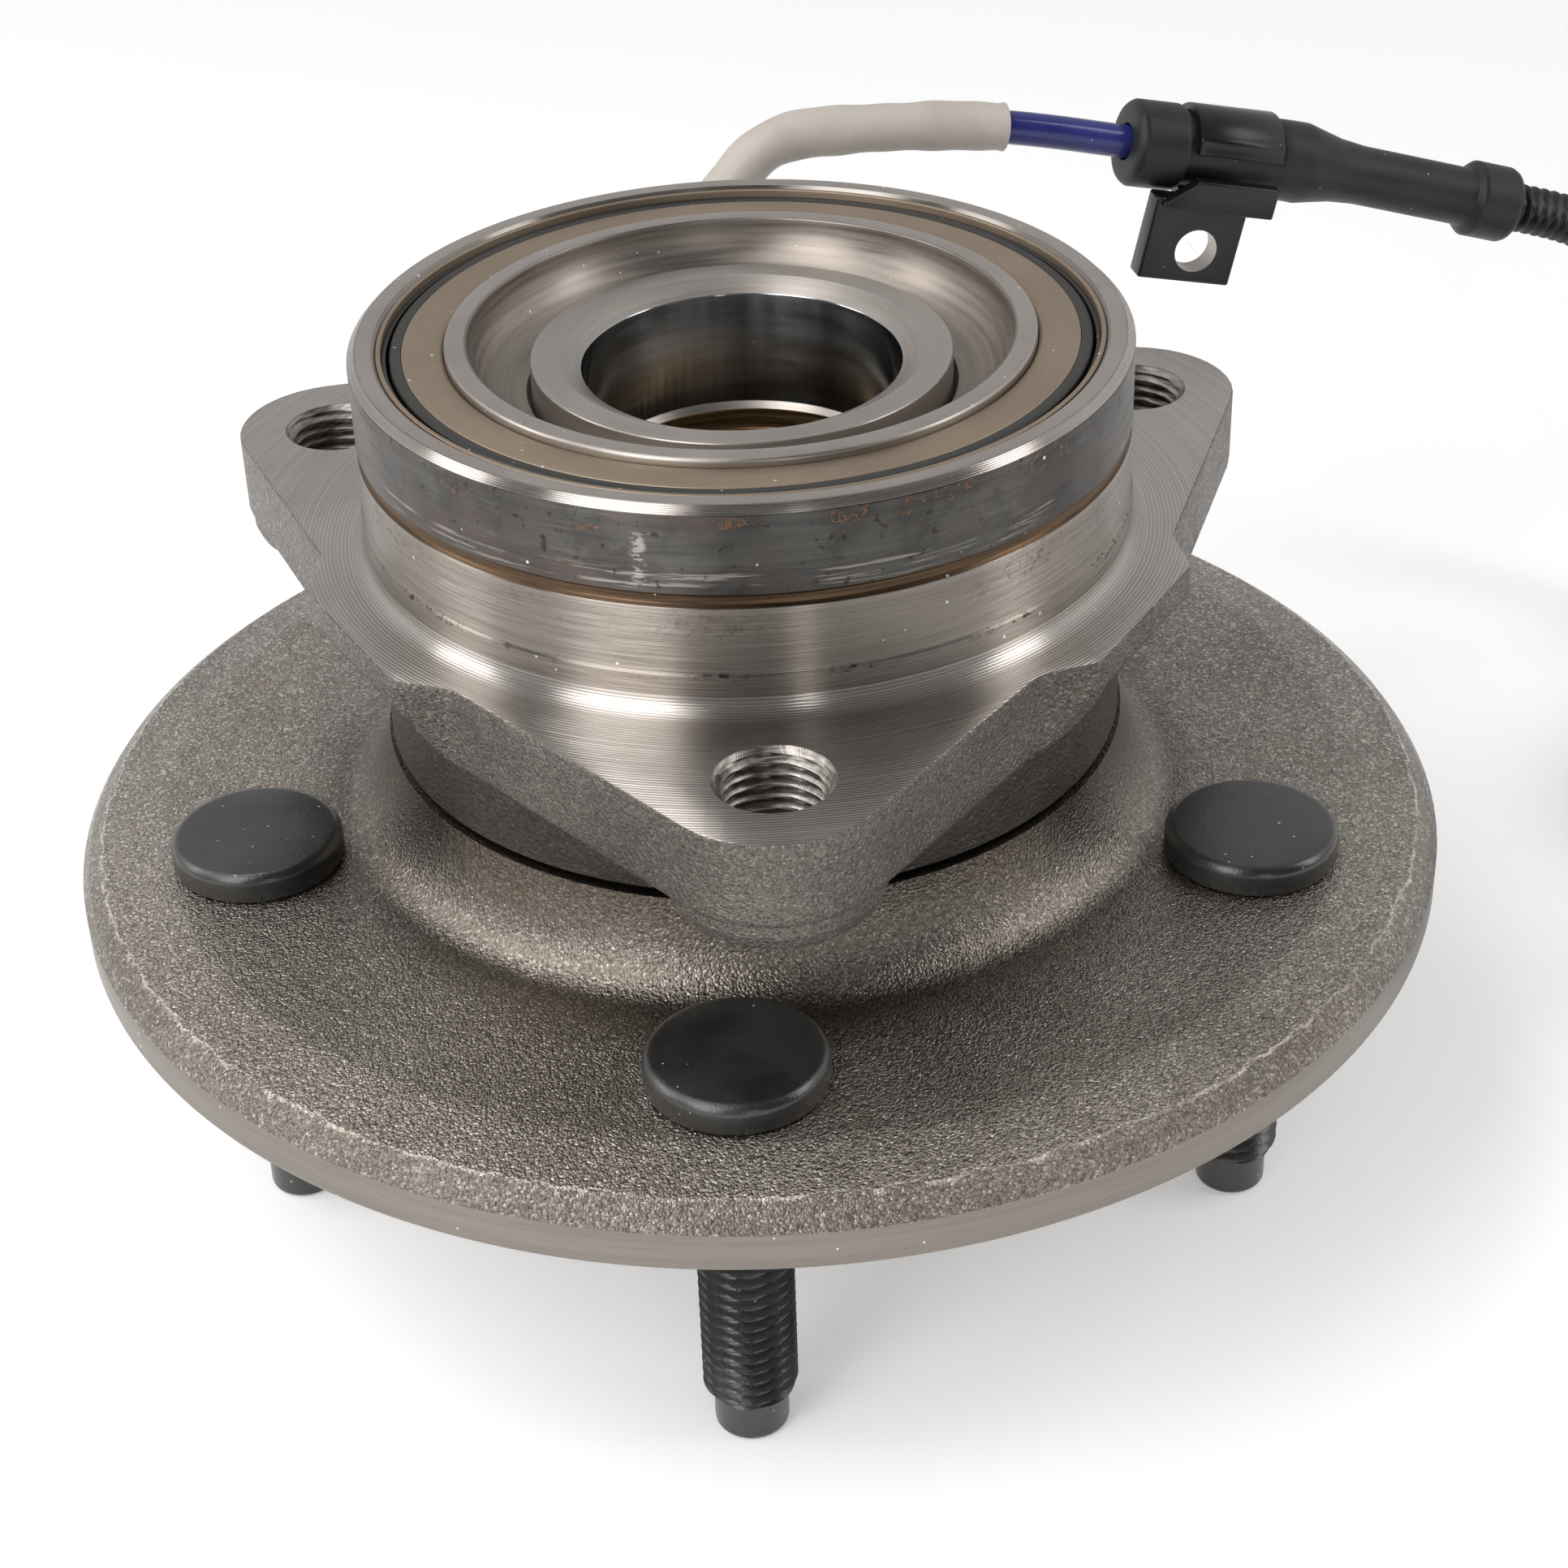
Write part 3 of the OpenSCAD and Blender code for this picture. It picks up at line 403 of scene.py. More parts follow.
def castMetal(name, look, extra=None):
    material, tree, shader = newSurface(name)
    grain = useEffect(tree, castGrain, Size=look["grain"])
    patches = useEffect(tree, stains, Size=45, Amount=0.35)
    rust = useEffect(tree, stains, Size=170, Amount=look["rust"])
    tone = patchy(tree, 30, 4, 0.6, 0.35, 0.65)
    colour = tint(tree, shade(*look["dark"]), tone, *look["light"])
    colour = tint(tree, colour, product(tree, patches["Mask"], 0.35), *look["tan"])
    colour = tint(tree, colour, product(tree, rust["Mask"], 0.55), 128, 84, 46)
    # painted shade: the grain's low spots are darkened
    colour = tint(tree, colour, product(tree, grain["Pit"], look["pit"]), 58, 54, 50)
    # painted glints: the grain's facets are lightened toward a pale colour, besides their lower roughness
    colour = tint(tree, colour, product(tree, grain["Facet"], look["glintShare"]), *look["glintColour"])
    if extra:
        colour = extra(tree, colour)
    put(tree, shader.inputs["Base Color"], colour)
    shader.inputs["Metallic"].default_value = look["metallic"]
    low, high = look["roughness"]
    put(tree, shader.inputs["Roughness"], between(tree, grain["Facet"], 0, 1, high, low))
    height = grain["Height"]
    if look.get("calm"):
        # smoother skin inside a radius
        inner, outer, share = look["calm"]
        calm = between(tree, axisDistance(tree), inner * mm, outer * mm, share, 1)
        height = product(tree, height, calm)
    addBump(tree, shader, height, look["depth"])
    return material


def blackPiece(name, look):
    # plastic, rubber or phosphated steel: fine grain, faint wear and dust
    material, tree, shader = newSurface(name)
    vector = placed(tree)
    grain = noise(tree, vector, look["grain"], 3, 0.6)
    patches = noise(tree, vector, 55, 4, 0.6)
    colour = tint(tree, shade(*look["colour"]), between(tree, patches, 0.35, 0.7), *look["worn"])
    specks = useEffect(tree, dustSpecks, Size=look["dust"], Reach=look["dustReach"])
    colour = tint(tree, colour, product(tree, specks["Mask"], 0.8), 190, 186, 178)
    put(tree, shader.inputs["Base Color"], colour)
    shader.inputs["Specular IOR Level"].default_value = look.get("gloss", 0.5)
    shader.inputs["Metallic"].default_value = look.get("metallic", 0.0)
    low, high = look["roughness"]
    put(tree, shader.inputs["Roughness"], between(tree, patches, 0.3, 0.7, low, high))
    addBump(tree, shader, grain, look["depth"])
    return material


turnedSteel = turnedMetal("turnedSteel", {
    "dark": (164, 157, 151), "light": (192, 185, 179), "lines": 2600, "depth": 0.02,
    "lean": -1, "roughness": (0.24, 0.30), "spread": 1.0, "lineShade": 0.4})
rimSteel = turnedMetal("rimSteel", {
    "dark": (132, 125, 118), "light": (146, 139, 132), "lines": 2200, "depth": 0.004,
    "lean": -1, "roughness": (0.42, 0.50), "spread": 0.4})
faceSteel = turnedMetal("faceSteel", {
    "dark": (180, 173, 167), "light": (202, 195, 189), "lines": 2050, "depth": 0.045,
    "lean": -1, "roughness": (0.26, 0.32), "spread": 1.0, "lineShade": 0.28,
    "streaks": (40, 900), "dust": 760})
pilotSteel = turnedMetal("pilotSteel", {
    "dark": (132, 124, 116), "light": (168, 160, 152), "lines": 3400, "depth": 0.02,
    "lean": -1, "roughness": (0.28, 0.38), "spread": 1.0, "lineShade": 0.25, "streaks": (110, 3600),
    "stain": (112, 92, 72), "stainSize": 90, "stainAmount": 0.25, "stainDepth": 0.35}, stepPits)
groundSteel = turnedMetal("groundSteel", {
    "dark": (162, 155, 149), "light": (178, 171, 165), "lines": 4200, "depth": 0.002,
    "roughness": (0.34, 0.42), "spread": 0.3})
dishSteel = turnedMetal("dishSteel", {
    "dark": (130, 122, 115), "light": (160, 151, 143), "lines": 3000, "depth": 0.003,
    "roughness": (0.34, 0.46), "spread": 0.3,
    "stain": (92, 82, 74), "stainSize": 140, "stainAmount": 0.3, "stainDepth": 0.5})
hardSteel = turnedMetal("hardSteel", {
    "dark": (158, 161, 163), "light": (184, 187, 189), "lines": 3600, "depth": 0.002,
    "roughness": (0.13, 0.18), "spread": 0.9, "streaks": (60, 400)})
splineSteel = turnedMetal("splineSteel", {
    "dark": (128, 106, 78), "light": (170, 146, 112), "lines": 2600, "depth": 0.004,
    "roughness": (0.28, 0.42), "spread": 0.3})
oxideSteel = turnedMetal("oxideSteel", {
    "dark": (78, 77, 75), "light": (104, 102, 99), "lines": 3000, "depth": 0.004,
    "lean": -1, "roughness": (0.36, 0.50), "spread": 0.8, "streaks": (90, 2000)}, rubbedOxide)
grooveSteel = turnedMetal("grooveSteel", {
    "dark": (66, 54, 44), "light": (116, 94, 72), "lines": 3600, "depth": 0.003,
    "lean": -1, "roughness": (0.30, 0.46), "spread": 0.6})
slingerSteel = turnedMetal("slingerSteel", {
    "dark": (152, 136, 119), "light": (164, 148, 130), "lines": 2600, "depth": 0.0015,
    "roughness": (0.44, 0.50), "spread": 0.2})
forgedSteel = castMetal("forgedSteel", {
    "dark": (146, 137, 128), "light": (163, 154, 145), "tan": (158, 140, 118),
    "glintColour": (238, 231, 222), "glintShare": 0.38, "pit": 0.55, "grain": 2400, "rust": 0.02,
    "metallic": 0.98, "roughness": (0.11, 0.28), "depth": 0.32, "calm": (56, 66, 0.5)}, forgingLineAndShade)
castSteel = castMetal("castSteel", {
    "dark": (98, 92, 87), "light": (126, 119, 113), "tan": (124, 112, 98),
    "glintColour": (168, 160, 152), "glintShare": 0.36, "pit": 0.5, "grain": 2400, "rust": 0.03,
    "metallic": 0.85, "roughness": (0.28, 0.42), "depth": 0.36})
# a darker copy of the cast finish for the barrel; its darkness is painted shade under the lugs
shadedBarrelSteel = castMetal("shadedBarrelSteel", {
    "dark": (62, 59, 56), "light": (84, 80, 76), "tan": (80, 73, 64),
    "glintColour": (110, 105, 100), "glintShare": 0.4, "pit": 0.4, "grain": 1700, "rust": 0.02,
    "metallic": 0.8, "roughness": (0.34, 0.5), "depth": 0.2})
threadSteel = turnedMetal("threadSteel", {
    "dark": (104, 99, 94), "light": (186, 180, 174), "lines": 5200, "depth": 0.012,
    "roughness": (0.28, 0.44), "spread": 0.2, "streaks": (420, 5200)})
phosphate = blackPiece("phosphate", {
    "colour": (30, 30, 30), "worn": (50, 50, 48), "grain": 2600, "depth": 0.04,
    "roughness": (0.22, 0.32), "dust": 640, "dustReach": 0.12, "metallic": 0.2, "gloss": 1.0})
blackRubber = blackPiece("blackRubber", {
    "colour": (22, 22, 20), "worn": (36, 36, 33), "grain": 1800, "depth": 0.04,
    "roughness": (0.38, 0.52), "dust": 420, "dustReach": 0.06, "gloss": 0.4})
blackPlastic = blackPiece("blackPlastic", {
    "colour": (15, 15, 14), "worn": (24, 24, 22), "grain": 2200, "depth": 0.02,
    "roughness": (0.26, 0.36), "dust": 420, "dustReach": 0.05, "gloss": 0.45})
sealRubber = blackPiece("sealRubber", {
    "colour": (26, 26, 25), "worn": (42, 41, 39), "grain": 2200, "depth": 0.02,
    "roughness": (0.4, 0.55), "dust": 520, "dustReach": 0.14})
whiteSleeve = blackPiece("whiteSleeve", {
    "colour": (190, 182, 173), "worn": (176, 168, 158), "grain": 500, "depth": 0.05,
    "roughness": (0.42, 0.55), "dust": 200, "dustReach": 0.04})
blueJacket = blackPiece("blueJacket", {
    "colour": (34, 38, 104), "worn": (42, 46, 116), "grain": 900, "depth": 0.02,
    "roughness": (0.14, 0.22), "dust": 300, "dustReach": 0.05})
sealRed = blackPiece("sealRed", {
    "colour": (140, 66, 50), "worn": (120, 58, 46), "grain": 900, "depth": 0.02,
    "roughness": (0.4, 0.55), "dust": 300, "dustReach": 0.06})
pinBrass = turnedMetal("pinBrass", {
    "dark": (176, 140, 74), "light": (214, 178, 104), "lines": 2600, "depth": 0.003,
    "roughness": (0.22, 0.32), "spread": 0.3})
rollerSteel = turnedMetal("rollerSteel", {
    "dark": (176, 174, 172), "light": (214, 212, 210), "lines": 2600, "depth": 0.002,
    "roughness": (0.14, 0.22), "spread": 0.2})
cageSteel = turnedMetal("cageSteel", {
    "dark": (70, 66, 60), "light": (98, 92, 84), "lines": 2000, "depth": 0.004,
    "roughness": (0.34, 0.5), "spread": 0.3})


# Small helpers for meshes; all of them work in millimetres
axisGap = 0.02      # radius of a lathe where it ends on its axis


def polar(radius, degrees):
    return (radius * math.cos(math.radians(degrees)), radius * math.sin(math.radians(degrees)))


def evenAngles(count):
    return np.linspace(0, 2 * math.pi, count, endpoint=False)


def gridFaces(rows, columns, closed=True):
    # quads between rings of points; closed joins the last ring to the first
    faces = []
    for i in range(rows if closed else rows - 1):
        a, b = i * columns, (i + 1) % rows * columns
        for j in range(columns):
            k = (j + 1) % columns
            faces.append((a + j, a + k, b + k, b + j))
    return faces


def cappedGrid(rows, columns):
    # an open stack of rings with a face over each end
    last = (rows - 1) * columns
    ends = [tuple(range(columns)), tuple(range(last, last + columns))]
    return gridFaces(rows, columns, closed=False) + ends


def softProfile(corners):
    # closed outline of (r, z, rounding, finish of the stretch that follows)
    points, finishes = [], []
    for i, (r, z, rounding, finish) in enumerate(corners):
        at = np.array((r, z), float)
        if not rounding:
            points.append(at)
            finishes.append(finish)
            continue
        u = np.array(corners[i - 1][:2], float) - at
        v = np.array(corners[(i + 1) % len(corners)][:2], float) - at
        uLength, vLength = np.linalg.norm(u), np.linalg.norm(v)
        u, v = u / uLength, v / vLength
        half = math.acos(max(-1, min(1, float(u @ v)))) / 2
        reach = min(rounding / math.tan(half), 0.48 * uLength, 0.48 * vLength)
        radius = reach * math.tan(half)
        middle = at + (u + v) / np.linalg.norm(u + v) * radius / math.sin(half)
        p, q = at + u * reach - middle, at + v * reach - middle
        start = math.atan2(p[1], p[0])
        turn = (math.atan2(q[1], q[0]) - start + math.pi) % (2 * math.pi) - math.pi
        steps = int(min(10, 3 + 2.2 * radius))
        for k in range(steps + 1):
            a = start + turn * k / steps
            points.append(middle + radius * np.array((math.cos(a), math.sin(a))))
            finishes.append(finish)
    return np.array(points), finishes


def ringGrid(rows, angles):
    # rows of (radius, height), each of them one number or one for every angle
    radii, heights = (np.array([np.broadcast_to(row[k], len(angles)) for row in rows]) for k in (0, 1))
    return np.stack([radii * np.cos(angles), radii * np.sin(angles), heights], -1).reshape(-1, 3)


def addPiece(name, points, faces, body, stands=(), finishes=None, materials=(), sharp=32):
    mesh = bpy.data.meshes.new(name)
    mesh.from_pydata((np.asarray(points, float) * mm).tolist(), [], faces)
    if finishes is not None:
        mesh.polygons.foreach_set("material_index", finishes)
    for material in materials:
        mesh.materials.append(material)
    piece = newObject(name, mesh)
    finishMesh(piece, sharp)
    if body:
        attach(piece, body)
    if stands:
        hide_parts(*stands)
    return piece


def reshape(piece, change):
    # change gets the piece's mesh, opened for editing
    work = bmesh.new()
    work.from_mesh(piece.data)
    change(work)
    work.to_mesh(piece.data)
    work.free()


def finishMesh(piece, sharp):
    reshape(piece, lambda work: bmesh.ops.recalc_face_normals(work, faces=work.faces))
    piece.data.shade_smooth()
    piece.data.set_sharp_from_angle(angle=math.radians(sharp))


def roundEdges(piece, amount, segments):
    reshape(piece, lambda work: bmesh.ops.bevel(
        work, geom=work.edges[:], offset=amount * mm, segments=segments, profile=0.5, affect="EDGES"))


def combine(piece, tools, how):
    # joins or cuts with closed tools that stand apart, and deletes them
    work = bmesh.new()
    for tool in tools:
        work.from_mesh(tool.data)
    for tool in tools[1:]:
        bpy.data.objects.remove(tool)
    work.to_mesh(tools[0].data)
    work.free()
    step = piece.modifiers.new(how.lower(), "BOOLEAN")
    step.operation = how
    step.solver = "EXACT"
    step.object = tools[0]
    graph = bpy.context.evaluated_depsgraph_get()
    mesh = bpy.data.meshes.new_from_object(piece.evaluated_get(graph))
    piece.modifiers.clear()
    piece.data = mesh
    bpy.data.objects.remove(tools[0])


def dress(piece, body, node, sharp):
    finishMesh(piece, sharp)
    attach(piece, body)
    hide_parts(node)
    return piece


def ringStack(name, rows, finishes, angles, materials):
    # a closed stack of rings, to be cut and dressed later
    points, faces = ringGrid(rows, angles), gridFaces(len(rows), len(angles))
    return addPiece(name, points, faces, None, (), np.repeat(finishes, len(angles)), materials)


def turned(name, corners, body, stands=(), materials=(), columns=240, sharp=32, centre=(0, 0)):
    profile, finishes = softProfile(corners)
    points = ringGrid(profile, evenAngles(columns)) + (*centre, 0)
    faces = gridFaces(len(profile), columns)
    return addPiece(name, points, faces, body, stands, np.repeat(finishes, columns), materials, sharp)


def rodProfile(radius, start, stop, startRound=0, stopRound=0):
    # a plain closed rod, as (radius, distance along the axis, rounding)
    return [(axisGap, start, 0), (radius, start, startRound), (radius, stop, stopRound), (axisGap, stop, 0)]


def yRod(name, profile, x, z, columns=48, finish=0):
    # lathe about a line along +Y: (radius, y, rounding)
    rod = turned(name, [(*corner, finish) for corner in profile], None, columns=columns)
    rod.data.transform(Matrix(((1, 0, 0, x * mm), (0, 0, 1, 0), (0, -1, 0, z * mm), (0, 0, 0, 1))))
    return rod


def softBox(name, low, high, rounding, finish=0):
    corners = [(x, y, z) for x in (low[0], high[0]) for y in (low[1], high[1]) for z in (low[2], high[2])]
    faces = [(0, 1, 3, 2), (4, 6, 7, 5), (0, 4, 5, 1), (2, 3, 7, 6), (0, 2, 6, 4), (1, 5, 7, 3)]
    piece = addPiece(name, corners, faces, None)
    roundEdges(piece, rounding, 3)
    piece.data.polygons.foreach_set("material_index", [finish] * len(piece.data.polygons))
    return piece


def prism(name, outline, low, high):
    # outline of (x, z) points, drawn from low to high along Y
    points = [(x, y, z) for y in (low, high) for x, z in outline]
    piece = addPiece(name, points, cappedGrid(2, len(outline)), None)
    roundEdges(piece, 0.2, 2)
    return piece


# Sweeps along a route: the curve passes through every point, as in the solids
def smoothRoute(points, steps):
    route = [np.array(p, float) for p in points]
    curve = []
    for i in range(len(route) - 1):
        a, b, c, d = (route[max(i - 1, 0)], route[i], route[i + 1], route[min(i + 2, len(route) - 1)])
        for k in range(steps):
            t = k / steps
            curve.append(0.5 * (2 * b + (c - a) * t + (2 * a - 5 * b + 4 * c - d) * t * t
                                + (3 * b - a - 3 * c + d) * t ** 3))
    return np.array(curve + [route[-1]])


def routeLength(path):
    return float(np.linalg.norm(np.diff(path, axis=0), axis=1).sum())


def evenRoute(path, count):
    # the same line with points at even distances
    far = np.concatenate([[0], np.cumsum(np.linalg.norm(np.diff(path, axis=0), axis=1))])
    at = np.linspace(0, far[-1], count)
    return np.stack([np.interp(at, far, path[:, k]) for k in range(3)], -1), at


def crossFrames(path):
    # a steady pair of directions across the path at each point
    ahead = np.gradient(path, axis=0)
    ahead /= np.linalg.norm(ahead, axis=1)[:, None]
    up = np.array((0.1, -0.2, 1.0))
    sides, tops = [], []
    for direction in ahead:
        up = up - direction * (up @ direction)
        up /= np.linalg.norm(up)
        sides.append(np.cross(direction, up))
        tops.append(up)
    return np.array(sides), np.array(tops)


def sweep(name, path, stations, body, stands=(), materials=(), sides=24, closed=True, sharp=40):
    # stations: (index on the path, radius across, radius up); closed ones run out and back inside
    across, up = crossFrames(path)
    around = evenAngles(sides)[:, None]
    points = [path[index] + wide * np.cos(around) * across[index] + tall * np.sin(around) * up[index]
              for index, wide, tall in stations]
    faces = (gridFaces if closed else cappedGrid)(len(stations), sides)
    return addPiece(name, np.concatenate(points), faces, body, stands, None, materials, sharp)


# The lead: its routes are those of the solids
lead = {
    "sensorTurn": 93.5,
    "exitRadius": 65.3,
    "exitHeight": 28.4,
    "jacket": 5.3,
    "sleeveOuter": 7.6,
    "sleeveWall": 0.7,
    "conduitOuter": 7.98,
    "conduitInner": 6.2,
    "ridgePitch": 1.9,
    "ridgeDepth": 0.75,
    "sleeve": [(-4.5, 73, 28.4), (-5.6, 81, 30.8), (-6, 88.5, 35), (-4.5, 95, 41),
               (-1.5, 99.5, 47.5), (2.8, 101.6, 53), (6.8, 102.4, 56.9), (12, 103.3, 58.8),
               (19, 104.6, 58.9), (28, 106.2, 58.4), (37, 107.8, 57.6), (45.5, 109.3, 56.4)],
    "bare": [(55, 111, 54.3), (65.5, 113, 51.6), (78.7, 115.4, 48.5), (92, 117.8, 45.4),
             (112, 121.4, 39), (132, 125, 32.5)],
    "conduitStart": (132.3, 125.05, 32.4),
    "conduit": [(143, 127, 28.6), (153, 128.3, 23.2), (161.5, 128.6, 15.6),
                (167.5, 127.6, 6), (170.5, 125, -5), (170.5, 120.6, -16), (168, 114, -26),
                (163.5, 105.5, -34), (158, 96.5, -39), (152.5, 87.5, -40.5)],
    "floor": [(147.6, 77.5, -41.4), (144.2, 66.5, -42), (143, 56, -42.05)],
    "coilCentre": (171, 56),
    "coilRadius": 28,
    "coilTurns": 2,
    "coilStart": -42.05,
    "tail": [(143, 56, -31.45), (143, 48, -32), (143, 40, -34.4), (143, 32, -37),
             (143, 25, -38.1), (143, 20, -38.2)],
}
leadExit = (*polar(lead["exitRadius"], lead["sensorTurn"]), lead["exitHeight"])


def leadPath():
    out = smoothRoute([leadExit] + lead["sleeve"] + lead["bare"] + lead["conduit"] + lead["floor"], 6)
    turns = []
    perTurn = 60
    for k in range(1, lead["coilTurns"] * perTurn):
        x, y = polar(lead["coilRadius"], 180 + 360 * k / perTurn)
        rise = lead["jacket"] * k / perTurn
        turns.append((lead["coilCentre"][0] + x, lead["coilCentre"][1] + y, lead["coilStart"] + rise))
    return np.concatenate([out, turns, smoothRoute(lead["tail"], 6)])


sleeveRoute = smoothRoute([leadExit] + lead["sleeve"], 8)
conduitRoute = smoothRoute([lead["conduitStart"]] + lead["conduit"], 12)
cablePath = leadPath()

# Wheel studs: flat round heads, rolled thread and a plain nose
stud = {
    "count": 5, "circle": 67.5, "turn": -94.8,
    "headRadius": 11.1, "headBottom": 9.6, "headTop": 13.6, "headRound": 1.4, "crown": 0.12,
    "knurlRadius": 6.55, "threadRadius": 6, "threadRoot": 4.98, "pitch": 1.75,
    "threadEnd": -39.2, "noseRadius": 4.675, "tip": -44.7,
}

# Wheel flange and spindle: one forging, turned at the rim, spindle, nose and bore
forging = {
    "pilotRadius": 43.45, "pilotLength": 24, "recessRadius": 31,
    "rimRadius": 90.55, "rimBand": 5.3, "bevelRadius": 87.65, "bevelHeight": 8.25,
    "plateauRadius": 79.5, "plateau": 9.6,
    "filletStart": 56, "collarRadius": 48.4, "collarHeight": 21.1,
    "shoulderRadius": 36.75, "shoulderHeight": 29, "spindleRadius": 26.35,
    "noseHeight": 71.1, "boreRadius": 20, "ledge": 54.3,
    "splineTop": 48.8, "splineBottom": -2.0, "nutSeat": -3.5,
    "splineRoot": 16.7, "splineCrest": 15.4, "splines": 30,
}


def splineShape():
    # angles of the columns, and a share from crest to root at each
    step = 2 * math.pi / forging["splines"]
    stations = ((-0.5, 0), (-0.40, 0), (-0.30, 0), (-0.25, 0.5), (-0.20, 1),
                (-0.07, 1), (0.07, 1), (0.20, 1), (0.25, 0.5), (0.30, 0), (0.40, 0))
    angles = [(i + s) * step for i in range(forging["splines"]) for s, _ in stations]
    return np.array(angles), np.array([d for _, d in stations] * forging["splines"])


def buildForging(materials):
    f = forging
    lathe, cast, ground, hard, splined, rim = range(len(materials))
    pilot, outside, bore = f["pilotRadius"], f["rimRadius"], f["boreRadius"]
    corners = [
        (f["recessRadius"], -f["pilotLength"], 0.5, lathe),
        (pilot - 1.5, -f["pilotLength"], 0.3, lathe),
        (pilot, 1.5 - f["pilotLength"], 0.3, lathe),
        (pilot, 0, 0.8, lathe),
        (outside, 0, 0.6, rim),
        (outside, f["rimBand"], 0.3, cast),
        (outside - 1.0, f["rimBand"] + 1.45, 1.2, cast),
        (f["bevelRadius"], f["bevelHeight"], 0.7, cast),
        (f["plateauRadius"], f["plateau"], 14, cast)]
    width, rise = f["filletStart"] - f["collarRadius"], f["collarHeight"] - f["plateau"]
    for a in range(0, 91, 5):
        up, out = polar(1, a)
        corners.append((f["collarRadius"] + width * (1 - out), f["plateau"] + rise * (1 - up), 0, cast))
    # the last corner turns back up the recess to the first
    corners += [
        (f["shoulderRadius"], f["collarHeight"], 1.5, ground),
        (f["shoulderRadius"], f["shoulderHeight"], 0.4, ground),
        (f["spindleRadius"], f["shoulderHeight"], 0.3, ground),
        (f["spindleRadius"], f["noseHeight"], 0.25, ground),
        (bore + 2.85, f["noseHeight"], 0.15, ground),
        (bore, f["noseHeight"] - 1.5, 0.2, hard),
        (bore, f["ledge"], 0.2, ground),
        (bore - 0.8, f["ledge"] - 0.8, 0.2, splined),
        (bore - 0.8, f["splineTop"] + 2, 0, splined),
        (f["splineRoot"], f["nutSeat"], 0, lathe),
        (f["recessRadius"], f["nutSeat"], 0.6, lathe)]
    profile, finishes = softProfile(corners)
    foot = [tuple(row) for row in profile].index((f["splineRoot"], f["nutSeat"]))
    angles, depth = splineShape()
    teeth = f["splineCrest"] + (f["splineRoot"] - f["splineCrest"]) * depth
    slope = (teeth - f["splineCrest"]) * 0.55
    rows = [*profile[:foot], (teeth, f["splineTop"] + slope), (teeth, f["splineBottom"] - slope),
            *profile[foot:]]
    finishes = finishes[:foot] + [splined] * 2 + finishes[foot:]
    piece = ringStack("flangeForging", rows, finishes, angles, materials)
    profile = [(*corner, lathe) for corner in rodProfile(stud["knurlRadius"] + 0.01, -1, 11)]
    holes = []
    for k in range(stud["count"]):
        centre = polar(stud["circle"], stud["turn"] + 360 * k / stud["count"])
        holes.append(turned("hole%d" % k, profile, None, columns=48, centre=centre))
    combine(piece, holes, "DIFFERENCE")
    return dress(piece, "hub", "wheel_flange", 30)


def threadDepth(turns):
    # from 0 at the crest to 1 at the root, for a rolled thread with flat crests
    share = np.abs((turns % 1) * 2 - 1)
    return np.clip((0.92 - share) / 0.74, 0, 1) ** 0.92


def buildStuds(materials):
    s = stud
    angles = evenAngles(48)
    head, _ = softProfile([
        (axisGap, s["headTop"] + s["crown"], 0, 0),
        (s["headRadius"] * 0.55, s["headTop"] + s["crown"] * 0.7, 6, 0),
        (s["headRadius"], s["headTop"], s["headRound"], 0), (s["headRadius"], s["headBottom"], 0.5, 0),
        (s["knurlRadius"], s["headBottom"], 0.2, 0), (s["knurlRadius"], 1.0, 0.3, 0), (axisGap, 1.0, 0, 0)])
    rows = list(head[:-1])
    for z in np.arange(0.6, s["threadEnd"], -s["pitch"] / 10):
        fade = np.clip((0.4 - z) / 1.5, 0, 1)
        root = s["threadRoot"] + (s["threadRadius"] - s["threadRoot"]) * (1 - fade)
        depth = threadDepth(z / s["pitch"] - angles / (2 * math.pi))
        cone = s["noseRadius"] + np.clip((z - s["threadEnd"]) * 1.15, 0, 9)
        rows.append((np.minimum(s["threadRadius"] - (s["threadRadius"] - root) * depth, cone), z))
    nose, _ = softProfile([(s["noseRadius"], s["threadEnd"] - 0.2, 0, 0),
                           (s["noseRadius"], s["tip"], 1.0, 0), (axisGap, s["tip"], 0, 0)])
    rows += list(nose)
    one, oneFaces = ringGrid(rows, angles), cappedGrid(len(rows), len(angles))
    points, faces = [], []
    for k in range(s["count"]):
        x, y = polar(s["circle"], s["turn"] + 360 * k / s["count"])
        # each stud is pressed in at another turn
        c, d = polar(1, 47 * k)
        points.append(np.stack([one[:, 0] * c - one[:, 1] * d + x,
                                one[:, 0] * d + one[:, 1] * c + y, one[:, 2]], -1))
        faces += [tuple(v + len(one) * k for v in face) for face in oneFaces]
    return addPiece("wheelStuds", np.concatenate(points), faces, "hub", ("wheel_studs",),
                    None, materials, 42)


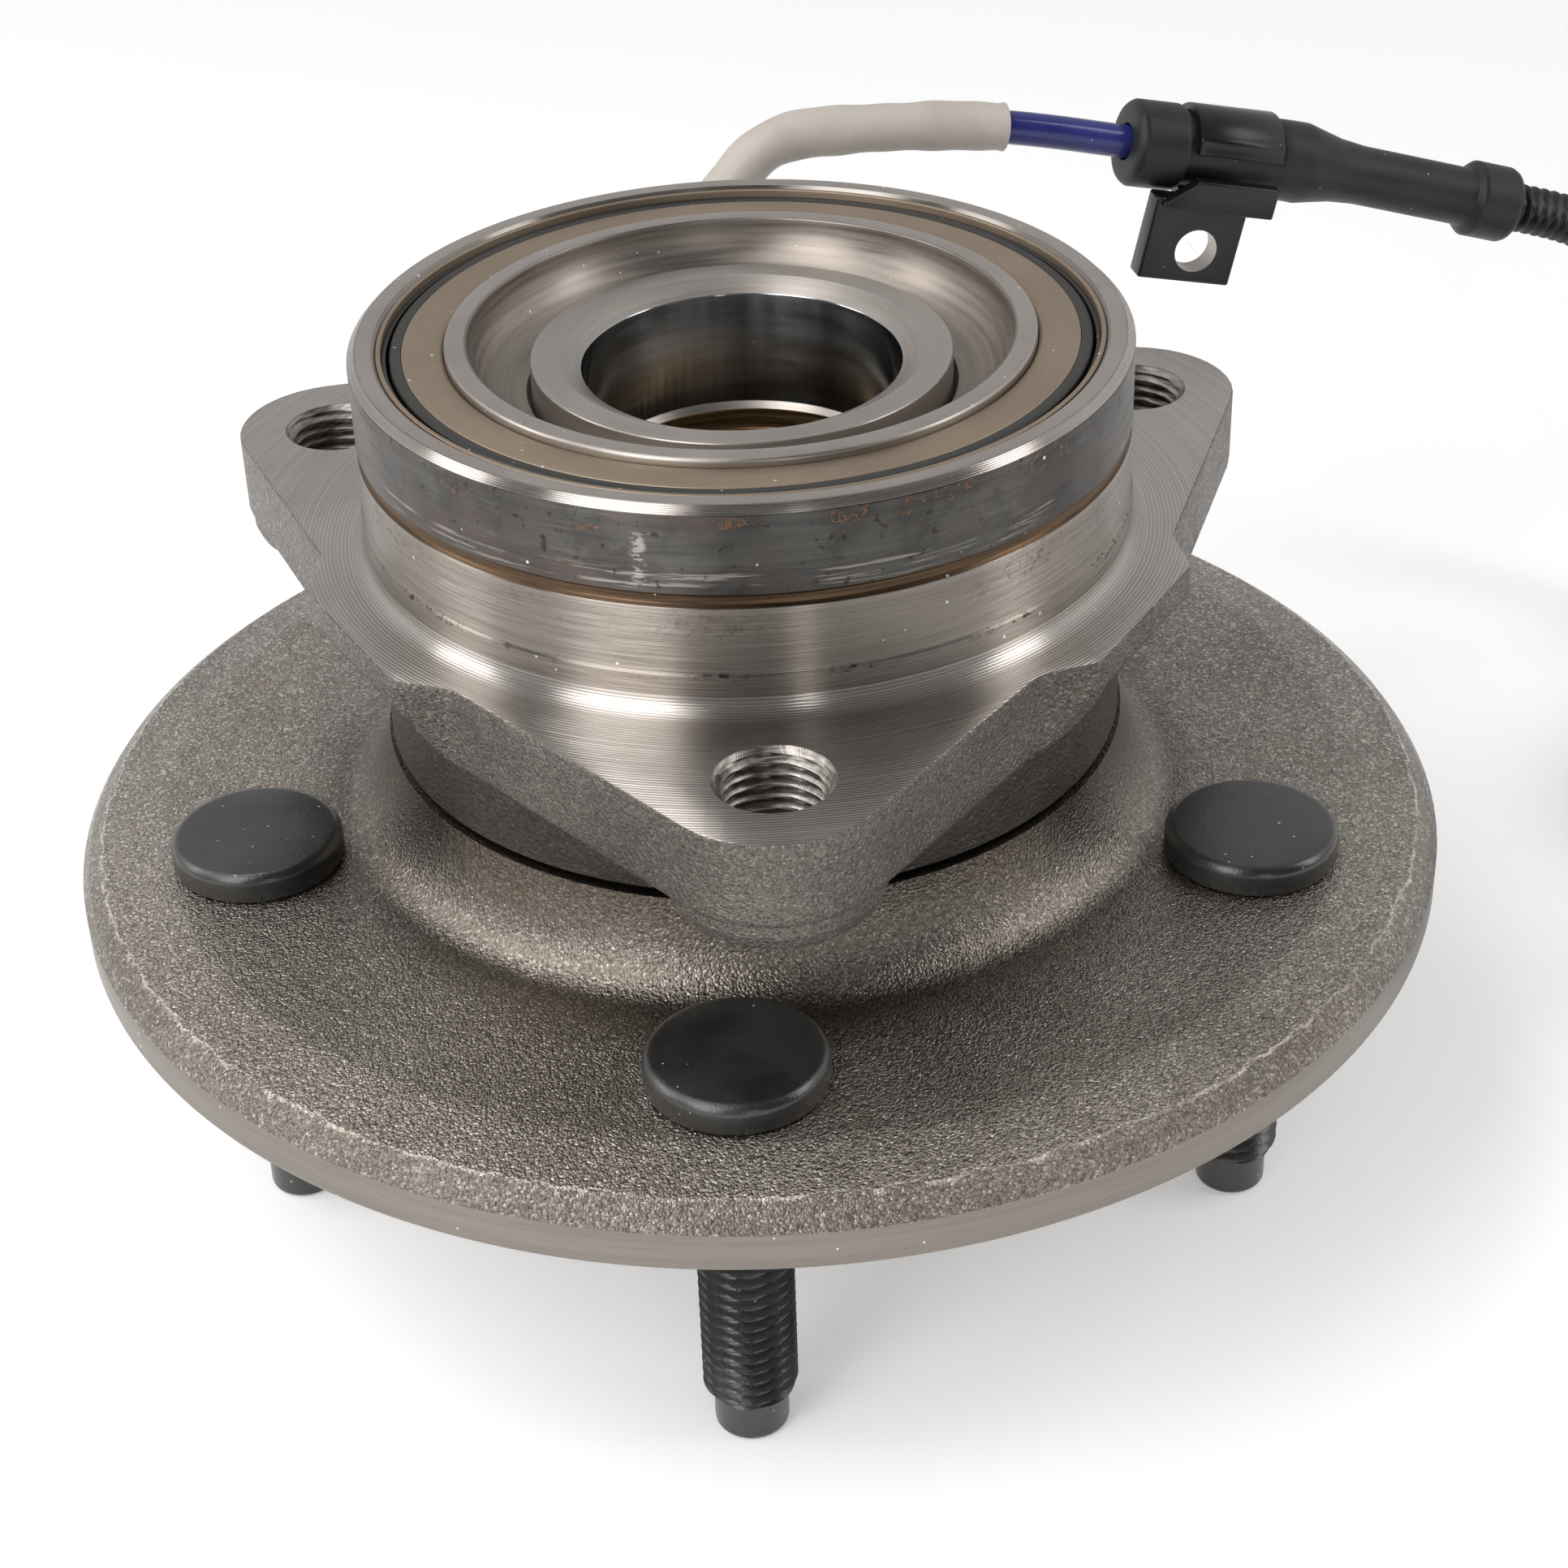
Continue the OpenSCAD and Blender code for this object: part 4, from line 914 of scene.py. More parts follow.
# Housing: turned barrel and pilot with the cast three-lug knuckle flange
housing = {
    "barrel": 48, "barrelBottom": 21.7, "pilot": 48.7, "step": 0.3, "stepHeight": 52.8,
    "face": 47.9, "root": 3.4, "groove": (61.5, 63.3), "grooveDepth": 0.6, "top": 74.3,
    "sealSeat": 45.1, "sealFloor": 66.97, "cup": 42.75, "cupMiddle": 39.36, "outerSeat": 43.6,
    "cupHeights": (25.1, 33.57, 48.0, 50.0, 64.43), "barrelRows": (31, 26),
    "lugTurn": -90, "flatTurn": -3, "flatHalf": 13.3, "kinkHalf": 20.8, "flat": 56,
    "flatRound": 2.2, "kinkInset": 3.2, "kinkRound": 5,
    "boltCircle": 63, "lugRadius": 13.2, "lugHalf": 38.3, "lugDepth": 11.4, "web": 4.8, "ramp": 8,
    "bossRadius": 12.8, "bossDepth": 15, "castRound": 1.3, "faceRound": 0.35,
    "minor": 5.95, "major": 6.85, "mouth": 7.15, "boltPitch": 1.5,
    "padTurn": 93.5, "padHeight": (22.3, 35.3), "padSide": (-8.5, 18.5), "padReach": 52.5,
    "sensorBore": 3.15, "sensorHeight": 28.4, "screwSide": 12, "screwRadius": 2.51,
}


def flatCorner():
    # radius of the corner that ends a flat
    return housing["flat"] / math.cos(math.radians(housing["flatHalf"]))


def knuckleOutline():
    # polar outline of the knuckle flange, corners rounded each with its own radius
    h = housing
    corner = (flatCorner(), h["flatHalf"], h["flatRound"])
    kink = (flatCorner() - h["kinkInset"], h["kinkHalf"], h["kinkRound"])
    apex = h["boltCircle"] + h["lugRadius"] / math.sin(math.radians(h["lugHalf"]))
    corners = []
    for i in range(3):
        lug = h["lugTurn"] + i * 120
        flat = lug + 60 + h["flatTurn"]
        corners.append((*polar(apex, lug), h["lugRadius"], 0))
        for side, (radius, half, rounding) in ((-1, kink), (-1, corner), (1, corner), (1, kink)):
            corners.append((*polar(radius, flat + side * half), rounding, 0))
    outline, _ = softProfile(corners)
    ahead = np.roll(outline, -1, axis=0) - outline
    shares = np.linspace(0, 1, 60, endpoint=False)[:, None]
    fine = np.concatenate([a + b * shares for a, b in zip(outline, ahead)])
    angles = np.arctan2(fine[:, 1], fine[:, 0])
    order = np.argsort(angles)
    return angles[order], np.linalg.norm(fine, axis=1)[order]


def underside(radii, angles):
    # height under the knuckle flange: deep at the lugs, thin at the flats
    h = housing
    low, web = h["face"] - h["lugDepth"], h["face"] - h["web"]
    kink = flatCorner() - h["kinkInset"]
    right = math.sin(math.radians(60 + h["flatTurn"] - h["kinkHalf"]))
    left = math.sin(math.radians(60 - h["flatTurn"] - h["kinkHalf"]))
    heights = np.full(len(angles), float(web))
    for i in range(3):
        away = (angles - math.radians(h["lugTurn"] + i * 120) + math.pi) % (2 * math.pi) - math.pi
        side = radii * np.sin(away)
        beyond = np.maximum(side - kink * right, -kink * left - side)
        share = np.clip(beyond / h["ramp"], 0, 1)
        share = share * share * (3 - 2 * share)
        heights = np.where(np.abs(away) <= math.pi / 3, low + (web - low) * share, heights)
    return heights


def threadedPlug(name, centre, finish):
    # closed tool that leaves a threaded hole with a chamfered mouth
    h = housing
    angles = evenAngles(40)
    rows = []
    z = h["face"] - h["bossDepth"] - 2
    while z < h["face"] + 1:
        depth = threadDepth(z / h["boltPitch"] - angles / (2 * math.pi))
        radius = h["major"] - (h["major"] - h["minor"]) * depth
        mouth = h["mouth"] - max(0, h["face"] - z) * 0.9
        rows.append((np.maximum(radius, mouth), z))
        z += h["boltPitch"] / 10
    points, faces = ringGrid(rows, angles) + (*centre, 0), cappedGrid(len(rows), len(angles))
    return addPiece(name, points, faces, None, finishes=[finish] * len(faces), sharp=42)


def boss(name, centre, finish):
    # stands under a bolt hole, to just below the face
    h = housing
    low, high = h["face"] - h["bossDepth"], h["face"] - 2
    corners = ((0.5, low, 0), (h["bossRadius"] - 0.9, low, 1.2), (h["bossRadius"], low + 2.2, 1.5),
               (h["bossRadius"], high, 0), (0.5, high, 0))
    return turned(name, [(*corner, finish) for corner in corners], None, centre=centre, columns=64)


def buildHousing(materials):
    h = housing
    lathe, face, cast, thread, oxide, groove, pilot, ground, barrel = range(len(materials))
    g0, g1 = h["groove"]
    z0, z1, z2, z3, z4 = h["cupHeights"]
    seat, cup, middle = h["outerSeat"], h["cup"], h["cupMiddle"]
    outside, step, deep = h["pilot"], h["pilot"] + h["step"], h["pilot"] - h["grooveDepth"]
    rows, finishes = softProfile([
        (seat, h["barrelBottom"], 0.3, lathe), (seat, z0, 0, lathe), (cup, z0, 0, lathe),
        (cup, z1, 0, lathe), (middle, z2, 0, lathe), (middle, z3, 0, lathe), (cup, z4, 0, lathe),
        (cup, h["sealFloor"], 0, lathe), (h["sealSeat"], h["sealFloor"], 0, lathe),
        (h["sealSeat"], h["top"] - 0.6, 0.1, lathe), (h["sealSeat"] + 0.6, h["top"], 0.15, ground),
        (outside - 1.0, h["top"], 0.25, lathe), (outside, h["top"] - 1.0, 0.25, oxide),
        (outside, g1, 0.2, groove), (deep, g1 - 0.35, 0.3, groove), (deep, g0 + 0.35, 0.3, groove),
        (outside, g0, 0.2, pilot), (outside, h["stepHeight"] + 0.25, 0.15, pilot),
        (step, h["stepHeight"] - 0.05, 0.15, pilot), (step, h["face"], h["root"], face),
        (h["flat"], h["face"], 0, 0), (h["barrel"], h["barrelBottom"], 0, 0)])
    # the last two corners only give the others their direction
    rows, finishes = list(rows[:-2]), finishes[:-2]
    around, reach = knuckleOutline()
    angles = np.linspace(-math.pi, math.pi, 480, endpoint=False)
    rim = np.interp(angles, around, reach, period=2 * math.pi)

    def ring(radius, height, finish):
        rows.append((radius, height))
        finishes.append(finish)

    inner = rows[-1][0]
    e, c = h["faceRound"], h["castRound"]
    top = h["face"] - e
    for share in (0.3, 0.65, 1.0):
        ring(inner + (rim - e - inner) * share, h["face"], face)
    for a in (30, 60, 90):
        up, out = polar(e, a)
        ring(rim - e + out, top + up, cast)
    under = underside(rim, angles)
    for share in (0.25, 0.5, 0.75, 1.0):
        ring(rim, top + (under + c - top) * share, cast)
    for a in (22, 45, 67, 90):
        out, down = polar(c, a)
        ring(rim - c + out, under + c - down, cast)
    edge = h["barrel"] + h["root"]
    for share in (0.15, 0.3, 0.45, 0.6, 0.75, 0.9, 1.0):
        radius = rim - c + (edge - rim + c) * share
        ring(radius, underside(radius, angles), cast)
    foot = underside(edge, angles)
    for a in (22, 45, 67, 90):
        up, out = polar(1, a)
        ring(edge - h["root"] * out, foot - h["root"] * (1 - up), cast)
    # the barrel rows take the darker cast finish: painted shade under the lugs
    for z in (*h["barrelRows"], h["barrelBottom"] + 0.5):
        ring(h["barrel"], z, barrel)
    ring(h["barrel"] - 0.5, h["barrelBottom"], barrel)
    piece = ringStack("bearingHousing", rows, finishes, angles, materials)
    centres = [polar(h["boltCircle"], h["lugTurn"] + i * 120) for i in range(3)]
    bosses = [boss("boss%d" % i, centre, cast) for i, centre in enumerate(centres)]
    plugs = [threadedPlug("boltHole%d" % i, centre, thread) for i, centre in enumerate(centres)]
    combine(piece, bosses + [sensorPad(cast)], "UNION")
    combine(piece, plugs + sensorHoles(lathe), "DIFFERENCE")
    return dress(piece, "housing", "bearing_housing", 30)


def placeAtSensor(piece):
    # from a frame whose +Y runs out along the sensor
    piece.data.transform(Matrix.Rotation(math.radians(housing["padTurn"] - 90), 4, "Z"))
    return piece


def sensorPad(finish):
    h = housing
    return placeAtSensor(softBox("pad", (h["padSide"][0], h["barrel"] - 5, h["padHeight"][0]),
                                 (h["padSide"][1], h["padReach"], h["padHeight"][1]), 0.9, finish))


def sensorHoles(finish):
    h = housing
    stop = h["padReach"] + 2
    bore = rodProfile(h["sensorBore"], h["cup"] - 2, stop)
    tap = rodProfile(h["screwRadius"], h["padReach"] - 7, stop)
    return [placeAtSensor(yRod(name, profile, side, h["sensorHeight"], finish=finish))
            for name, profile, side in (("boreTool", bore, 0), ("screwTool", tap, h["screwSide"]))]


# Seals and inner ring at the inboard end; race is (radius, height, rounding)
sealRings = {
    "ringBack": 74.3, "ringRim": 36.75, "rimWidth": 2.8, "dish": 7.3, "dishFoot": 27.01,
    "ringBore": 26.36, "ringFoot": 49.5, "ribFoot": 65.36,
    "race": ((33.04, 49.01, 0.2), (33.04, 51.4, 0), (32.14, 51.41, 0), (34.85, 65.77, 0)),
    "slingerTop": 73.4, "slingerLeg": 5.4, "slinger": 42.0, "rubber": 43.5, "rubberDepth": 1.6,
    "seat": 45.09, "sheet": 0.6, "floor": 66.97, "caseInner": 40.93, "caseTop": 74.0,
    "lipInner": 37.44, "lipTop": 73.1,
}


def buildInnerRing(materials):
    q = sealRings
    ground, dished = range(len(materials))
    corners = [(q["ringBore"], q["ringFoot"], 0.3, ground), *((*corner, ground) for corner in q["race"]),
               (q["ringRim"], q["ribFoot"], 0.1, ground), (q["ringRim"], q["ringBack"], 0.5, ground)]
    width = q["ringRim"] - q["rimWidth"] - q["dishFoot"]
    for a in range(90, -1, -5):
        up, out = polar(1, a)
        corners.append((q["dishFoot"] + width * out, q["ringBack"] - q["dish"] * up,
                        0.35 if a == 90 else 0, dished))
    corners.append((q["ringBore"], q["ringBack"] - q["dish"] - 1.2, 0.2, ground))
    return turned("innerRing", corners, "hub", ("inboard_ring",), materials, 300, 28)


def sealRing(name, corners, body, node, material, columns=300):
    # corners: (radius, height, rounding)
    turned(name, [(*corner, 0) for corner in corners], body, (node,), (material,), columns)


def buildSeals(slinger, case, rubber):
    q = sealRings
    sheet, top = q["sheet"], q["slingerTop"]
    inner, outer, foot = q["ringRim"] + 0.01, q["slinger"], top - q["slingerLeg"]
    sealRing("sealSlinger", [
        (inner, foot, 0), (inner + sheet, foot, 0), (inner + sheet, top - sheet, 0.4),
        (outer, top - sheet, 0), (outer, top, 0.12), (inner, top, 0.7)], "hub", "seal_slinger", slinger)
    inner, low, high = outer + 0.01, top - q["rubberDepth"], top - 0.05
    sealRing("slingerRubber", [
        (inner, low, 0), (q["rubber"], low, 0.2), (q["rubber"], high, 0.35), (inner, high, 0.15)],
        "hub", "slinger_rubber", rubber)
    wall, lip = q["seat"] - sheet, q["lipInner"]
    low, high = q["floor"] + sheet + 0.01, q["lipTop"]
    sealRing("sealLip", [
        (lip + 1.4, low, 0), (wall - 0.01, low, 0), (wall - 0.01, high, 0.15), (wall - sheet, high, 0.15),
        (wall - sheet, low + 1, 0.3), (lip + 1.2, low + 1, 0.3), (lip, low + 2.4, 0.1),
        (lip, low + 1.6, 0.1)],
        "housing", "inboard_seal_lip", rubber, 240)
    inner, low, high = q["caseInner"], q["floor"], q["caseTop"]
    sealRing("sealCase", [
        (inner, low, 0), (q["seat"], low, 0.4), (q["seat"], high, 0.12), (wall, high, 0.12),
        (wall, low + sheet, 0.3), (inner, low + sheet, 0)], "housing", "inboard_seal_case", case)


# Sleeve, conduit and grommet on the lead
def buildSleeve(material):
    path, far = evenRoute(sleeveRoute, 90)
    outer, inner = lead["sleeveOuter"] / 2, lead["sleeveOuter"] / 2 - lead["sleeveWall"]
    last = len(path) - 1
    stations = [(0, outer, outer)]
    for i in range(1, last):
        ripple = 0.10 * math.sin(far[i] * 0.31) + 0.07 * math.sin(far[i] * 0.83 + 1.3)
        stations.append((i, outer + ripple - 0.05, outer - ripple - 0.05))
    stations.append((last, outer, outer))
    stations += [(i, inner, inner) for i in range(last, -1, -1)]
    return sweep("leadSleeve", path, stations, "housing", ("lead_sleeve",), (material,), 32)


def buildConduit(material):
    # shares of the ridge's depth along one ridge
    shape = (0, 0, 0.45, 1, 1, 0.45)
    ridges = int(routeLength(conduitRoute) / lead["ridgePitch"])
    path, _ = evenRoute(conduitRoute, ridges * len(shape) + 1)
    outer, inner = lead["conduitOuter"] / 2, lead["conduitInner"] / 2
    radii = [outer - lead["ridgeDepth"] * shape[i % len(shape)] for i in range(len(path))]
    stations = [(i, radius, radius) for i, radius in enumerate(radii)]
    stations += [(i, inner, inner) for i in range(len(path) - 1, -1, -len(shape))]
    return sweep("leadConduit", path, stations, "housing", ("lead_conduit",), (material,), 28)


# The grommet's radius, as (distance, radius) from its start, collar end, knee and far end
grommet = {
    "start": (65.5, 113, 51.6), "knee": (92, 117.8, 45.4), "end": (132, 125, 32.5),
    "bore": 3.0, "collarLength": 9.0, "kneeReach": 4.0,
    "fromStart": ((0, 5.6), (0.25, 6.2), (0.6, 6.55), (1.2, 6.9)),
    "fromCollar": ((-0.9, 6.9), (-0.3, 6.65), (-0.05, 6.2), (0.05, 6.0)),
    "fromKnee": ((-2.6, 6.0), (-2.2, 6.4), (3.2, 6.5), (5.5, 6.0), (9.5, 5.15), (14, 4.75)),
    "fromEnd": ((-9.2, 4.75), (-8.6, 4.87), (-8.3, 5.25), (-8.0, 5.75), (-7.4, 6.2), (-1.2, 6.2),
                (-0.5, 5.9), (-0.15, 5.5), (0, 5.0)),
}


def bentLine(corners, first, reach, s):
    # point at distance s along two straight stretches with a soft knee
    back, ahead = corners[0] - corners[1], corners[2] - corners[1]
    back, ahead = back / np.linalg.norm(back), ahead / np.linalg.norm(ahead)
    if abs(s - first) >= reach:
        return corners[1] + (ahead * (s - first) if s > first else back * (first - s))
    t = (s - first + reach) / (2 * reach)
    return corners[1] + back * reach * (1 - t) ** 2 + ahead * reach * t * t


def buildGrommet(material):
    g = grommet
    corners = [np.array(g[k], float) for k in ("start", "knee", "end")]
    first, second = (float(np.linalg.norm(corners[i + 1] - corners[i])) for i in (0, 1))
    collar, total = g["collarLength"], first + second
    origins = (("fromStart", 0), ("fromCollar", collar), ("fromKnee", first), ("fromEnd", total))
    shape = np.array([(origin + s, r) for label, origin in origins for s, r in g[label]])
    # even steps, and finer ones where the two ends turn sharply
    ends = [s for s in shape[:, 0] if s < collar + 1 or s > total - 9]
    distances = np.unique(np.round([*np.linspace(0, total, 90), *ends, collar + 0.5], 3))
    path = np.array([bentLine(corners, first, g["kneeReach"], s) for s in distances])
    stations = [(i, r, r) for i, r in enumerate(np.interp(distances, shape[:, 0], shape[:, 1]))]
    last = len(path) - 1
    stations += [(i, g["bore"], g["bore"]) for i in (last, *range(last - 6, 0, -12), 0)]
    return sweep("leadGrommet", path, stations, "housing", ("lead_grommet",), (material,), 48, sharp=50)


def alongLead():
    # frame of the clip: +X along the lead, +Z up
    start, knee = Vector(grommet["start"]), Vector(grommet["knee"])
    ahead = (knee - start).normalized()
    side = Vector((-ahead[1], ahead[0], 0)).normalized()
    up = ahead.cross(side)
    matrix = Matrix((ahead, side, up)).transposed().to_4x4()
    matrix.translation = start * mm
    return matrix


bracket = {
    "saddleStart": 10.0, "saddleLength": 14.5, "inner": 6.02, "sheet": 1.28, "wrap": (-112, 168),
    "bead": (150, 6, 0.35), "plate": (4.6, 20.6), "front": -7.71, "depth": 4.0,
    "top": -5.9, "bottom": -19.6, "hole": (13.4, -14.2, 3.55), "lip": (-7.4, -2.3, -9.0, -6.5),
    "gusset": (5.6, 10.8, -7.2, -6.4), "edge": 0.25, "edgeTurn": 0.02, "endShare": 0.82,
}


def buildBracket(material, bareMaterial):
    # a sheet strip wrapped round the grommet, a tab below it and a plate with one hole
    b = bracket
    around = np.radians(np.linspace(*b["wrap"], 113))
    inner, outer = b["inner"], b["inner"] + b["sheet"]
    edge, start, stop = b["edge"], around[0] - b["edgeTurn"], around[-1] + b["edgeTurn"]
    place, wide, high = b["bead"]
    bead = outer + high * np.exp(-((np.degrees(around) - place) / wide) ** 2)
    section = [(inner + edge, around[0]), *((inner, a) for a in around), (inner + edge, stop),
               (outer - edge, stop), *zip(bead[::-1], around[::-1]), (outer - edge, start)]
    middle = (inner + outer) / 2
    first, last = b["saddleStart"], b["saddleStart"] + b["saddleLength"]
    points = []
    for x, share in ((first, b["endShare"]), (first + edge, 1), (last - edge, 1), (last, b["endShare"])):
        radii = [(middle + (r - middle) * share, a) for r, a in section]
        points += [(x, r * math.cos(a), r * math.sin(a)) for r, a in radii]
    saddle = addPiece("leadBracket", points, cappedGrid(4, len(section)), None, (), None,
                      (material, bareMaterial), 35)
    (left, right), front, back = b["plate"], b["front"], b["front"] + b["depth"]
    plate = softBox("plate", (left, front, b["bottom"]), (right, back, b["top"]), 0.45)
    x, z, r = b["hole"]
    combine(plate, [yRod("hole", rodProfile(r, front - 2, front + 7), x, z, finish=1)], "DIFFERENCE")
    low, high, near, far = b["lip"]
    lip = softBox("lip", (first + 0.3, near, low), (last, far, high), 0.4)
    left, right, foot, shoulder = b["gusset"]
    gusset = prism("gusset", [(left, foot), (left, shoulder), (right, high - 0.2), (right, foot)],
                   near + 0.05, far - 0.1)
    for part in (plate, lip, gusset):
        combine(saddle, [part], "UNION")
    saddle.data.transform(alongLead())
    return dress(saddle, "housing", "lead_bracket", 35)


# Sensor with its ear and neck, its screw, and the connector on the floor; socket is (radius, depth)
sensor = {
    "tip": 42.35, "nose": 3.0, "noseEnd": 54, "ringSeat": (48.5, 50.1), "ringRoot": 2.3,
    "head": ((-6.5, 52.5, -4.5), (6.5, 62, 6.5)), "ear": ((0, 52.5, -4), (12, 56.5, 5)),
    "earRound": (12, 0.5, 4.5), "neck": (62, 65, 4.6, 3.8), "screwHole": 2.65,
    "screwHead": 4.5, "screwTop": 61, "screwTip": 45.5, "screwShank": 2.5,
    "screwPitch": 0.8, "screwThread": 0.42,
    "socket": ((4.25, 0.35), (3.95, 0.05), (3.7, 0), (2.15, 0), (2.0, 0.15), (2.0, 1.5), (1.8, 1.6),
               (axisGap, 1.6)),
}


def buildSensor(material):
    q = sensor
    body = softBox("speedSensor", *q["head"], 1.1)
    body.data.materials.append(material)
    x, z, r = q["earRound"]
    (_, y0, _), (_, y1, _) = q["ear"]
    nose, root, (s0, s1) = q["nose"], q["ringRoot"], q["ringSeat"]
    n0, n1, r0, r1 = q["neck"]
    noseProfile = [(axisGap, q["tip"], 0), (nose, q["tip"], 0.5), (nose, s0, 0.1), (root, s0, 0.1),
                   (root, s1, 0.1), (nose, s1, 0.1), (nose, q["noseEnd"], 0), (axisGap, q["noseEnd"], 0)]
    neckProfile = [(axisGap, n0 - 2, 0), (r0, n0 - 2, 0), (r0, n0, 0.2), (r1, n1, 0.4), (axisGap, n1, 0)]
    for part in (softBox("ear", *q["ear"], 0.4), yRod("earEnd", rodProfile(r, y0, y1, 0.4, 0.4), x, z),
                 yRod("nose", noseProfile, 0, 0), yRod("neck", neckProfile, 0, 0)):
        combine(body, [part], "UNION")
    hole = yRod("screwHole", rodProfile(q["screwHole"], y0 - 2, y1 + 2), x, 0)
    combine(body, [hole], "DIFFERENCE")
    body.data.transform(Matrix.Translation((0, 0, housing["sensorHeight"] * mm)))
    placeAtSensor(body)
    return dress(body, "housing", "speed_sensor", 35)


def buildScrew(material):
    q = sensor
    seat, shank, tip, top = q["ear"][1][1] + 0.01, q["screwShank"], q["screwTip"], q["screwTop"]
    angles = evenAngles(48)
    # radius of the head's six flats at each angle
    hexagon = q["screwHead"] * math.cos(math.pi / 6) / np.cos((angles % (math.pi / 3)) - math.pi / 6)
    rows = [(axisGap + shank * share, y) for share, y in ((0, tip), (0.72, tip), (1, tip + 0.8))]
    y = tip + 0.9
    while y < seat - 4.6:
        depth = threadDepth(y / q["screwPitch"] - angles / (2 * math.pi))
        rows.append((shank - q["screwThread"] * depth, y))
        y += 0.1
    rows += [(shank, seat - 4.5), (shank, seat)]
    rows += [(hexagon * share, y) for share, y in ((0.96, seat), (1, seat + 0.25), (1, top - 0.9))]
    rows += [(np.minimum(hexagon, r), top - drop) for r, drop in q["socket"]]
    x, y, z = ringGrid(rows, angles).T
    points = np.stack([x + q["earRound"][0], z, housing["sensorHeight"] - y], -1)
    screw = addPiece("sensorScrew", points, cappedGrid(len(rows), len(angles)), None, (), None,
                     (material,), 34)
    placeAtSensor(screw)
    return dress(screw, "housing", "sensor_screw", 34)


plug = {
    "place": (143, 20, -44.7), "size": (16, 28, 13), "neckStart": 8.5, "neckLength": 6, "neck": 5.8,
    "wall": 1.8, "socket": 14, "latch": (6, 14, 2.4), "latchStart": 4, "wireBore": 4.5,
}


def buildConnector(material):
    q = plug
    wide, long, tall = q["size"]
    middle, inside, wall = tall / 2, wide / 2 - q["wall"], q["wall"]
    body = softBox("leadConnector", (-wide / 2, -long, 0), (wide / 2, -q["neckLength"], tall), 0.9)
    body.data.materials.append(material)
    neck = yRod("plugNeck", rodProfile(q["neck"], -q["neckStart"], 0, 0, 0.5), 0, middle)
    combine(body, [neck], "UNION")
    width, length, rise = q["latch"]
    start, foot = q["latchStart"] - long, tall - 0.5
    latch = softBox("latch", (-width / 2, start, foot), (width / 2, start + length, foot + rise), 0.6)
    combine(body, [latch], "UNION")
    socket = softBox("socket", (-inside, -long - 4, wall), (inside, q["socket"] - long, tall - wall), 0.6)
    bore = yRod("wireBore", rodProfile(q["wireBore"], -3.5, 2), 0, middle)
    combine(body, [socket, bore], "DIFFERENCE")
    body.data.transform(Matrix.Translation([v * mm for v in q["place"]]))
    return dress(body, "housing", "lead_connector", 32)


# Build everything
buildForging([turnedSteel, forgedSteel, groundSteel, hardSteel, splineSteel, rimSteel])
buildStuds([phosphate])
print("forging and studs built")
buildHousing([turnedSteel, faceSteel, castSteel, threadSteel, oxideSteel, grooveSteel, pilotSteel,
              groundSteel, shadedBarrelSteel])
print("housing built")
buildInnerRing([groundSteel, dishSteel])
buildSeals(slingerSteel, slingerSteel, sealRubber)
leadParts = [buildSleeve(whiteSleeve), buildConduit(blackPlastic), buildGrommet(blackRubber),
             buildBracket(blackPlastic, groundSteel)]
buildSensor(blackPlastic)
buildScrew(groundSteel)
connectorPiece = buildConnector(blackPlastic)
print("lead parts built")
cableRadius = lead["jacket"] / 2
cable = sweep("leadCable", cablePath, [(i, cableRadius, cableRadius) for i in range(len(cablePath))],
              "housing", ("sensor_lead", "lead_coil", "lead_tail"), (blueJacket,), sides=20, closed=False)
print("lead:", round(routeLength(cablePath)), "mm long")

# Floor, light and background; sizes in millimetres, glow is the brightness of the lamp's face
studio = {
    "floor": 3000,
    "key": {"low": (-520, -760, 238), "high": (-270, -170, 700), "width": 350, "glow": 4.2},
    "keyTop": {"low": (-268, -160, 705), "high": (-140, 240, 710), "width": 170, "glow": 3},
    "left": {"low": (-950, -130, 280), "high": (-468, 180, 600), "width": 220, "glow": 4.2},
    "right": {"low": (912, -300, 280), "high": (474, 71, 628), "width": 180, "glow": 4.2},
    "strip": {"low": (231, -1067, 132), "high": (190, -830, 520), "width": 80, "glow": 4},
    "horizon": 0.85, "overhead": 0.14, "behind": 0.62, "sides": 0.3, "fill": 0.40,
    "floorLift": 0.25, "farLift": 0.62,
}


def directRays(tree):
    # 1 for camera rays, and 1 for all rays that bring the picture something sharp
    path = tree.nodes.new("ShaderNodeLightPath")
    camera, glossy = path.outputs["Is Camera Ray"], path.outputs["Is Glossy Ray"]
    sharp = maths(tree, "MAXIMUM", camera, glossy)
    return camera, maths(tree, "MAXIMUM", sharp, path.outputs["Is Transmission Ray"])


def buildFloor():
    half, z = studio["floor"] * mm, (stud["tip"] - 0.02) * mm
    mesh = bpy.data.meshes.new("floor")
    corners = [(x * half, y * half, z) for x, y in ((-1, -1), (1, -1), (1, 1), (-1, 1))]
    mesh.from_pydata(corners, [], [(0, 1, 2, 3)])
    floor = newObject("floor", mesh)
    material, tree, shader = newSurface("floorPaper")
    put(tree, shader.inputs["Base Color"], (0.93, 0.93, 0.93))
    shader.inputs["Roughness"].default_value = 0.9
    shader.inputs["Specular IOR Level"].default_value = 0.1
    shader.inputs["Emission Color"].default_value = (1, 1, 1, 1)
    # the paper stays white where it runs out of the lamps' reach
    _, seen = directRays(tree)
    lift = between(tree, axisDistance(tree), 0.3, 1.3, studio["floorLift"], studio["farLift"])
    put(tree, shader.inputs["Emission Strength"], product(tree, seen, lift))
    floor.data.materials.append(material)


